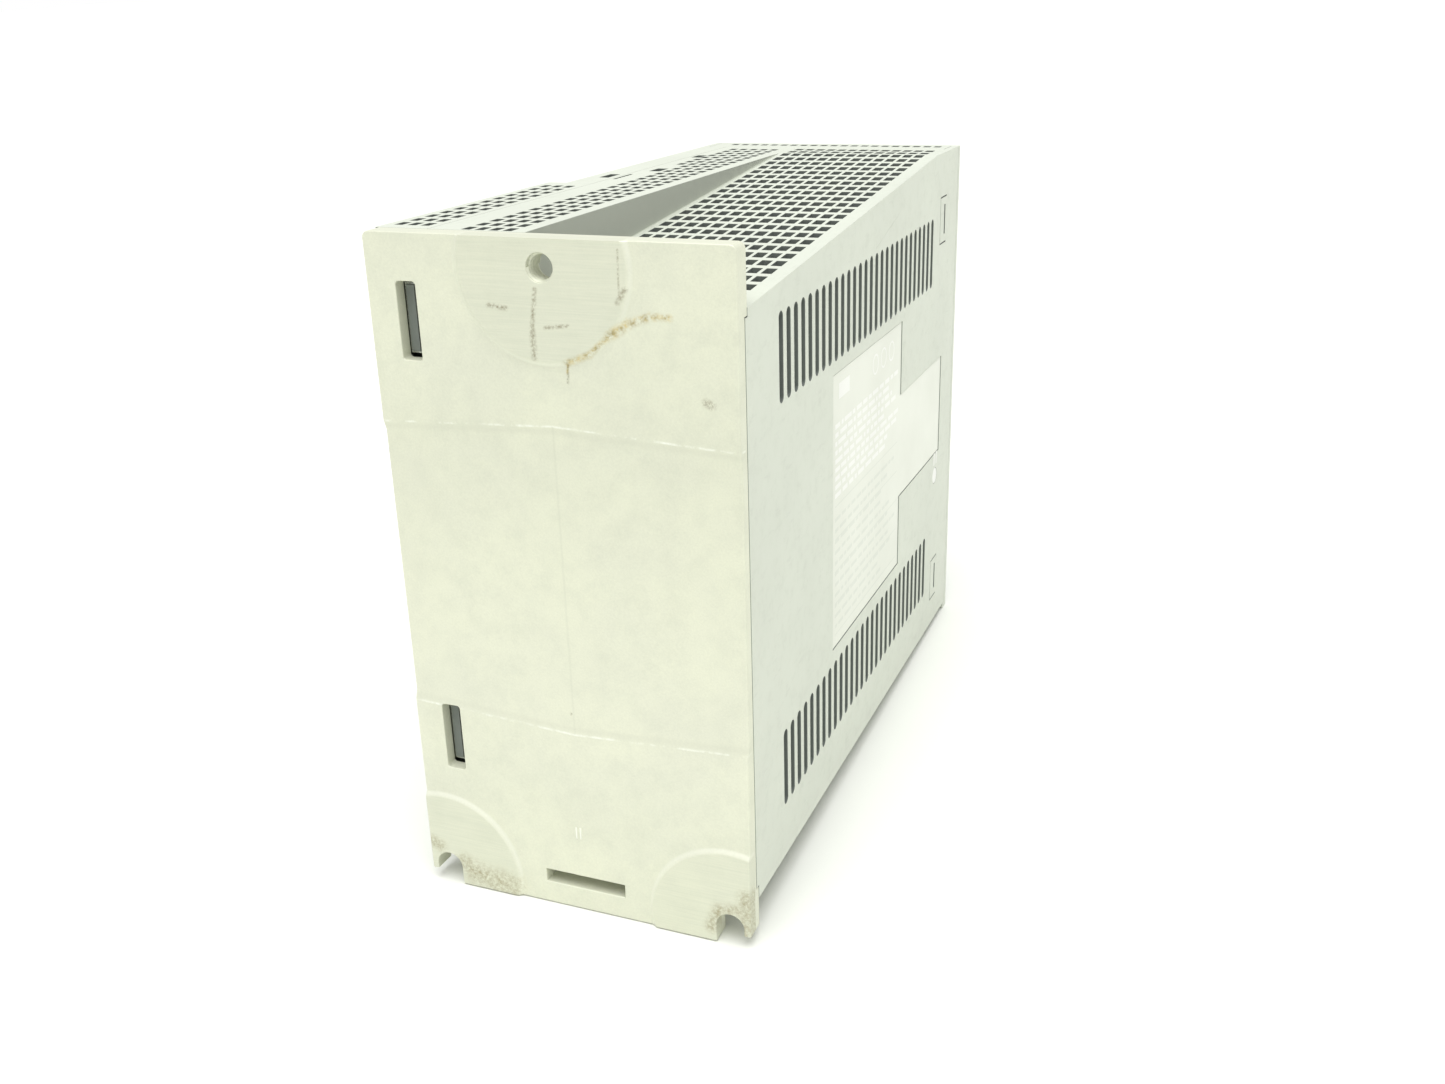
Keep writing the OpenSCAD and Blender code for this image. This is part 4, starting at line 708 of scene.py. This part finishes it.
# footprints (y, z) already on the board: every part that stands near it and isn't a cover
taken = []
for name in frame["nodes"]:
    low, high = box_mm(name)
    if low[0] < comp_x + 4 and high[0] > comp_x + 0.01 and high[1] - low[1] < 120 and high[2] - low[2] < 100:
        taken.append((low[1:] - 1.0, high[1:] + 1.0))
chip_tries = 420
pack_share = 0.12
pack_sizes = [(6.0, 5.0), (5.0, 9.0)]
chip_sizes = [(1.25, 2.0), (2.0, 1.25), (1.6, 3.2)]
pin_pitch = 1.27
end_cap = 0.42
chip_ends, chip_bodies, chip_packs = [], [], []
for _ in range(chip_tries):
    spot = draw.uniform(board_low[1:] + 4, board_high[1:] - 4)
    pack = draw.random() < pack_share
    size = np.array(draw.choice(pack_sizes if pack else chip_sizes))
    low, high = spot - size / 2, spot + size / 2
    if any((low < b).all() and (high > a).all() for a, b in taken):
        continue
    taken.append((low - 0.9, high + 0.9))
    if pack:
        chip_packs.append(rounded_box((comp_x + 0.1, *low), (comp_x + 1.6, *high), 0.15))
        for z in np.arange(low[1] + 0.8, high[1] - 0.4, pin_pitch):
            for y0 in (low[0] - 0.7, high[0] - 0.1):
                chip_ends.append(rounded_box((comp_x, y0, z - 0.2), (comp_x + 0.7, y0 + 0.8, z + 0.2), 0.08))
        continue
    tall = 0.55 + 0.3 * (size.min() > 1.4)
    axis = int(size[1] > size[0])
    inner_low, inner_high = low.copy(), high.copy()
    inner_low[axis] += 0.4
    inner_high[axis] -= 0.4
    chip_bodies.append(rounded_box((comp_x, *inner_low), (comp_x + tall, *inner_high), 0.08))
    for side in (low[axis], high[axis] - end_cap):
        a, b = low.copy(), high.copy()
        a[axis], b[axis] = side, side + end_cap
        chip_ends.append(rounded_box((comp_x, *a), (comp_x + tall + 0.03, *b), 0.1))
solder = plated("tin solder", "#dfe1de", "#c2c5c2", 0.3)
chip_brown = moulded("brown ceramic", "#a78a68", 0.5, 0.2, 0.004)
epoxy_black = moulded("black epoxy moulding compound", "#202124", 0.55, 0.25, 0.008)
build("chip_terminals", chip_ends, solder)
build("chip_bodies", chip_bodies, chip_brown)
build("chip_packages", chip_packs, epoxy_black)
for node in ("bridge_rectifier", "power_transistors", "output_rectifiers"):
    refined(node, 0.3, epoxy_black)


def wire(points, radius, count=8, steps=6):
    """A round wire along straight runs with rounded corners: each corner is a quadratic curve
    between points a third of the way along the runs that meet there. In millimetres."""
    points = np.array(points, float)
    path = [points[0]]
    for a, b, c in zip(points[:-2], points[1:-1], points[2:]):
        start, end = b + (a - b) / 3, b + (c - b) / 3
        for t in np.linspace(0, 1, steps):
            path.append((1 - t) ** 2 * start + 2 * t * (1 - t) * b + t * t * end)
    path = np.array([*path, points[-1]])
    ahead = np.gradient(path, axis=0).mean(0) + (0.31, 0.17, 0.23)
    turn = np.linspace(0, 2 * math.pi, count, endpoint=False)
    profile = np.column_stack([np.cos(turn), np.sin(turn)]) * radius * mm
    aside = np.cross(ahead, points[-1] - points[0] + (0.01, 0.02, 0.03))
    return sweep(path * mm, np.tile(aside, (len(path), 1)), profile)


# ---- Transformer ----
# Two ferrite E halves glued round a moulded bobbin, and the winding wrapped in polyester
# tape. The bobbin's pins are soldered into the main board.
def make_ferrite():
    """Sintered ferrite: near-black grey in slow clouds with fine pits, and a thin glue line
    where the halves meet."""
    material, shader, add, place = start_material("sintered ferrite", Metallic=0.3)
    grain = add("TexNoise", cells(place, 0.35, 4.0, 0.7))
    clouds = add("TexNoise", cells(place, 5, 3.0))
    base = add("MixRGB", [clouds, tint("#46484c"), tint("#57595c")])
    base = add("MixRGB", [add("MapRange", [grain, 0.55, 0.75]), base, tint("#2c2d30")])
    low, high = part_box("transformer_core")
    from_joint = add("Math", [add("SeparateXYZ", [place], give="X"), (low.x + high.x) / 2], operation="SUBTRACT")
    glue = add("MapRange", [add("Math", [from_joint], operation="ABSOLUTE"), 0.08 * mm, 0.2 * mm, 1.0, 0.0])
    base = add("MixRGB", [glue, base, tint("#1c1c1e")])
    rough = add("MapRange", [clouds, 0.3, 0.7, 0.5, 0.65])
    surface(shader, add, base, rough, grain, 0.04)
    return material


def make_winding_tape():
    """Polyester tape in layers: yellow with the turns of wire showing through as soft ribs
    across the winding."""
    material, shader, add, place = start_material("yellow polyester tape", Coat_Weight=0.3, Coat_Roughness=0.2)
    ribs = add("TexWave", {"Vector": place, "Scale": 0.22 / mm, "Distortion": 0.6}, give="Fac", bands_direction="X")
    clouds = add("TexNoise", cells(place, 7, 3.0))
    base = add("MixRGB", [clouds, tint("#d8a92e"), tint("#e3b944")])
    base = add("MixRGB", [add("MapRange", [ribs, 0.2, 0.9, 0.3, 0.0]), base, tint("#a87a1c")])
    rough = add("MapRange", [clouds, 0.3, 0.7, 0.3, 0.42])
    surface(shader, add, base, rough, ribs, 0.15, 0.7)
    return material


refined("transformer_core", 0.35, make_ferrite())
refined("transformer_bobbin", 0.2, strip_black)
refined("transformer_winding", 1.6, make_winding_tape(), segments=4)


# ---- Ring chokes ----
# Coated iron powder rings stood on the main board on edge, each wound with one layer of
# enamelled copper wire whose ends go down into the board.
def ring_winding(node, section, turns, radius, per_turn=22):
    """Wire wound round a ring core: the angle round the ring grows as the wire goes round the
    core's section, a rounded rectangle given by its half sizes and middle radius."""
    low, high = box_mm(node)
    middle = (low + high) / 2
    half_wide, half_high = section
    mid_radius = (high[1] - low[1]) / 2 - radius - half_high
    turn = np.linspace(0, 2 * math.pi, turns * per_turn, endpoint=False)
    phase = turn * turns

    def soft(wave):
        """A wave flattened towards 1 and -1: its size to the power of 0.45, with its sign."""
        return np.sign(wave) * np.abs(wave) ** 0.45

    spoke = np.stack([0 * turn, np.cos(turn), np.sin(turn)], -1)
    core = middle + mid_radius * spoke
    aside = np.array([1.0, 0.0, 0.0]) * (half_wide * soft(np.sin(phase)))[:, None]
    path = core + (half_high * soft(np.cos(phase)))[:, None] * spoke + aside
    around = np.linspace(0, 2 * math.pi, 8, endpoint=False)
    profile = np.column_stack([np.cos(around), np.sin(around)]) * radius * mm
    leads = []
    for side in (-1, 1):
        y = middle[1] + side * mid_radius * 0.35
        z = middle[2] + (low[2] - middle[2]) * 0.86
        run = [(middle[0] - half_wide * 0.6, y, z), (low[0] + 0.6, y, z + 0.3), (comp_x + 0.1, y, z + 0.3)]
        leads.append(wire(run, radius * 0.8))
    return [sweep(path * mm, (path - core) * mm, profile, closed=True), *leads]


def powder_coated(name, colour, speck):
    """Epoxy-coated powder core: the colour with small specks, an orange-peel surface and a
    soft gloss."""
    material, shader, add, place = start_material(name, Coat_Weight=0.2)
    peel = add("TexNoise", cells(place, 0.8, 3.0, 0.6))
    specks = add("MapRange", [add("TexNoise", cells(place, 0.3, 3.0, 0.7)), 0.58, 0.72, 0.0, 0.6])
    base = add("MixRGB", [add("TexNoise", cells(place, 6, 3.0)), tint(colour), tint(colour, 0.85)])
    base = add("MixRGB", [specks, base, tint(speck)])
    rough = add("MapRange", [peel, 0.3, 0.7, 0.34, 0.5])
    surface(shader, add, base, rough, peel, 0.06)
    return material


enamel = plated("enamelled copper wire", "#c8743a", "#a9582a", 0.22, 0.004, 0.85)
# each choke's half section, turns, wire radius in millimetres, and coating colour
chokes = [
    ("pfc_choke", (8.15, 4.15), 24, 0.7, "#8d9a58"),
    ("output_choke", (6.5, 3.0), 14, 0.7, "#c9b64f"),
    ("mains_choke", (5.35, 2.65), 12, 0.6, "#4a6d54"),
]
for name, section, turns, radius, colour in chokes:
    coating = powder_coated(name.replace("_", " ") + " coating", colour, "#e8e4c8")
    refined(name + "_core", 0.8, coating, 3)
    winding = ring_winding(name + "_winding", section, turns, radius)
    build(name + "_wire", winding, enamel, [name + "_winding"])


# ---- Capacitors, relay, varistor and fuse ----
# Electrolytic capacitors have drawn aluminium cans with a pressed vent cross, a bead near
# the base and a shrunk sleeve with a stripe for the negative pole. Film capacitors and the
# relay are potted boxes, the varistor is a dipped disc, and the fuse is a glass tube.
def sleeved(name, colour, stripe, centres_z, radius):
    """Shrunk plastic sleeve: a dark even colour with faint clouds, and a light stripe with
    dashes along each side, where the height is near the middle of a can."""
    material, shader, add, place = start_material(name, Coat_Weight=0.3, Coat_Roughness=0.15)
    height = add("SeparateXYZ", [place], give="Z")
    offsets = [add("Math", [height, z * mm], operation="SUBTRACT") for z in centres_z]
    offsets = [add("Math", [offset], operation="ABSOLUTE") for offset in offsets]
    band = add("MapRange", [fold(add, "MINIMUM", offsets), radius * 0.2 * mm, radius * 0.22 * mm, 1.0, 0.0])
    dash = add("TexWave", {"Vector": place, "Scale": 0.045 / mm}, give="Fac", bands_direction="X")
    dashes = add("Math", [dash, 0.8], operation="GREATER_THAN")
    clouds = add("TexNoise", cells(place, 8, 3.0))
    base = add("MixRGB", [clouds, tint(colour), tint(colour, 0.8)])
    base = add("MixRGB", [band, base, add("MixRGB", [dashes, tint(stripe), tint(colour)])])
    fill(shader, {"Base Color": base, "Roughness": add("MapRange", [clouds, 0.3, 0.7, 0.26, 0.4])})
    return material


def can(start, radius, length, bead):
    """Profile of a drawn can along +X: a rolled edge at the base, a groove round it at the
    bead, straight walls, and a rounded top edge with a slightly sunk face."""
    edge = radius * 0.12
    rise = np.linspace(0, math.pi / 2, 5)
    top = [(length - edge + edge * math.sin(a), radius - edge + edge * math.cos(a)) for a in rise]
    groove = [(bead - 0.8, radius), (bead - 0.3, radius * 0.95), (bead + 0.3, radius * 0.95), (bead + 0.8, radius)]
    face = [(length - 0.1, radius - edge * 1.6), (length - 0.35, radius - edge * 2.2)]
    return turned(start, (1, 0, 0), [(0, radius * 0.9), (0.3, radius), *groove, *top, *face], 56)


def vent_cross(start, radius, length):
    """Raised ridges of a pressure vent on a can's top: two thin bars that cross."""
    x, y, z = start[0] + length - 0.4, start[1], start[2]
    reach = radius * 0.55
    return [rounded_box((x, y - reach, z - 0.25), (x + 0.2, y + reach, z + 0.25), 0.08),
        rounded_box((x, y - 0.25, z - reach), (x + 0.2, y + 0.25, z + reach), 0.08)]


def jacket(start, radius, begin, end, sunk):
    """A sleeve round a can: out over the base edge, straight, and in over the top edge, and
    back along its inner side, sunk into the can."""
    outside = [(begin, radius - 0.5), (begin + 0.1, radius), (end - 1.0, radius)]
    lip = [(end - 0.25, radius - 0.35), (end, radius - 1.3), (end - 0.2, radius - 1.5)]
    return turned(start, (1, 0, 0), [*outside, *lip, (end - 1.2, radius - sunk)], 56)


def places(node, count, axis):
    """Middle positions along an axis of equal round parts that make up one node."""
    low, high = box_mm(node)
    size = min(high[1] - low[1], high[2] - low[2])
    return np.linspace(low[axis] + size / 2, high[axis] - size / 2, count), (low + high) / 2, size / 2


can_metal = plated("drawn aluminium", "#d3d6d7", "#b9bcbe", 0.26)
bulk_long = 42
bulk_z, bulk_mid, bulk_r = places("bulk_capacitors", 2, 2)
bulk_starts = [(comp_x, bulk_mid[1], z) for z in bulk_z]
cans = [can(p, bulk_r, bulk_long, 4) for p in bulk_starts]
cans += [bar for p in bulk_starts for bar in vent_cross(p, bulk_r, bulk_long)]
build("bulk_capacitor_cans", cans, can_metal, ["bulk_capacitors"])
sleeve_blue = sleeved("dark blue shrunk sleeve", "#26385f", "#c9cfd8", bulk_z, 15)
sleeves = [jacket(p, bulk_r + 0.2, 1, bulk_long - 0.1, 0.4) for p in bulk_starts]
build("bulk_capacitor_jackets", sleeves, sleeve_blue, ["bulk_capacitor_sleeves"])
out_long = 25
out_y, out_mid, out_r = places("output_capacitors", 4, 1)
out_starts = [(comp_x, y, out_mid[2]) for y in out_y]
sleeve_violet = sleeved("dark violet shrunk sleeve", "#33284a", "#c4bcd2", [out_mid[2]], out_r)
sleeves = [jacket(p, out_r, 0.3, out_long - 0.1, 0.4) for p in out_starts]
build("output_capacitor_jackets", sleeves, sleeve_violet, ["output_capacitors"])
cans = [can(p, out_r - 0.2, out_long - 0.05, 2.4) for p in out_starts]
cans += [bar for p in out_starts for bar in vent_cross(p, out_r, out_long - 0.05)]
build("output_capacitor_cans", cans, can_metal)

resin_yellow = moulded("yellow polyester resin box", "#d9b53a", 0.34, 0.6, 0.01)
relay_black = moulded("black relay housing", "#2a2d31", 0.36, 0.4, 0.006)
refined("film_capacitors", 0.7, resin_yellow, segments=3)
refined("relay", 0.7, relay_black, segments=3)
disc_low, disc_high = box_mm("surge_varistor")
disc_mid = (disc_low + disc_high) / 2
disc_r = (disc_high[0] - disc_low[0]) / 2
thick = disc_high[1] - disc_low[1]
rise = np.linspace(0.12, math.pi - 0.12, 9)
bulge = thick * 0.45
edge = [(thick / 2 - thick / 2 * math.cos(a), disc_r - bulge + bulge * math.sin(a)) for a in rise]
start = (disc_mid[0], disc_low[1], disc_mid[2])
varistor_blue = powder_coated("blue dipped epoxy", "#2f74b0", "#4d90c8")
build("varistor_disc", [turned(start, (0, 1, 0), edge, 48)], varistor_blue, ["surge_varistor"])
legs = []
for side in (-1, 1):
    y, z = disc_mid[1] + 0.9 * side, disc_mid[2] + 3.75 * side
    legs.append(wire([(disc_low[0] + 3.5, y, z), (disc_low[0], y, z), (comp_x + 0.1, y, z)], 0.4))
build("varistor_legs", legs, solder)

fuse_low, fuse_high = box_mm("fuse")
fuse_mid = (fuse_low + fuse_high) / 2
fuse_r = (fuse_high[0] - fuse_low[0]) / 2
fuse_long = fuse_high[1] - fuse_low[1]
cap_long = 5.0
inside_cap = cap_long - 0.1
glass_r = fuse_r - 0.15
cap = [(0, fuse_r - 0.5), (0.12, glass_r), (0.4, fuse_r), (inside_cap, fuse_r), (cap_long, fuse_r - 0.1)]
ends = [turned((fuse_mid[0], y, fuse_mid[2]), (0, s, 0), cap, 32) for y, s in ((fuse_low[1], 1), (fuse_high[1], -1))]
build("fuse_caps", ends, solder, ["fuse"])
walls = [(0, glass_r), (fuse_long - 2 * inside_cap, glass_r)]
tube = turned((fuse_mid[0], fuse_low[1] + inside_cap, fuse_mid[2]), (0, 1, 0), walls, 32)
build("fuse_tube", [tube], clear("fuse glass", "#eef3f1", 0.03, 0.92))
sag = fuse_mid - (0, 0, 0.3)
joints = [(fuse_mid[0], y, fuse_mid[2]) for y in (fuse_low[1] + 4.8, fuse_high[1] - 4.8)]
filament = wire([joints[0], sag, joints[1]], 0.12)
build("fuse_element", [filament], solder)

# ---- Thermal pads and insulation sheet ----
# Soft silicone pads with a woven glass core lie between the devices and the cooling block.
# A milky polypropylene sheet stands between the parts and the side cover.
def make_silicone():
    """Silicone rubber on woven glass: grey-blue, with the weave as a fine check relief."""
    material, shader, add, place = start_material("silicone pad on glass weave")
    weave = [add("TexWave", {"Vector": place, "Scale": 0.5 / mm}, give="Fac", bands_direction=way) for way in "XZ"]
    check = add("Math", weave, operation="ADD")
    clouds = add("TexNoise", cells(place, 5, 3.0))
    base = add("MixRGB", [clouds, tint("#98a2a8"), tint("#aab3b8")])
    base = add("MixRGB", [add("MapRange", [check, 0.4, 1.6, 0.3, 0.0]), base, tint("#78828a")])
    rough = add("MapRange", [clouds, 0.3, 0.7, 0.6, 0.75])
    surface(shader, add, base, rough, check, 0.04, 0.8)
    return material


refined("thermal_pads", 0.08, make_silicone())
sheet_white = moulded("milky polypropylene sheet", "#dfe2d9", 0.42, 0.5, 0.006, Subsurface_Weight=0.15)
refined("insulation_sheet", 0.06, sheet_white)


# ---- Floor and light ----
# A plain pale floor that the plate's lower edge and the front feet stand on, a white room,
# and one broad soft sun from above and behind the unit.
foot_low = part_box("front_cover")[0]
plate_low, plate_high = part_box("rear_plate")
edge_in = 6 * mm  # the plate stands on a line this far in from its outer face
contact = plate_high.y - edge_in
tilt = (foot_low.z - plate_low.z) / (foot_low.y - contact)
far = 6.0
spread = [(-far, -far), (far, -far), (far, far), (-far, far)]
floor_mesh = bpy.data.meshes.new("floor")
floor_mesh.from_pydata([(x, y, plate_low.z + tilt * (y - contact)) for x, y in spread], [], [(0, 1, 2, 3)])
floor = bpy.data.objects.new("floor", floor_mesh)
bpy.context.scene.collection.objects.link(floor)
paper, paper_shader, paper_add, paper_place = start_material("white paper", Roughness=0.9)
paper_tone = paper_add("TexNoise", cells(paper_place, 60, 2.0))
paper_base = paper_add("MixRGB", [paper_tone, tint("#eceee8"), tint("#f0f1ec")])
fill(paper_shader, {"Base Color": paper_base})
floor_mesh.materials.append(paper)

room = bpy.data.worlds.new("white room")
room.use_nodes = True
room_add = functools.partial(add_node, room.node_tree)
sight = room_add("LightPath", give="Is Camera Ray")
glow = room_add("MapRange", [sight, 0.0, 1.0, 0.62, 1.0])
fill(room.node_tree.nodes["Background"], {"Color": (1.0, 1.0, 1.0, 1.0), "Strength": glow})
bpy.context.scene.world = room
bpy.context.scene.view_settings.view_transform = "Standard"

sun = bpy.data.objects.new("sun", bpy.data.lights.new("sun", "SUN"))
sun.data.energy = 2.7
sun.data.angle = math.radians(50)
sun.location = (-0.08, 0.25, 0.965)
sun.rotation_euler = sun.location.to_track_quat("Z", "Y").to_euler()
bpy.context.scene.collection.objects.link(sun)
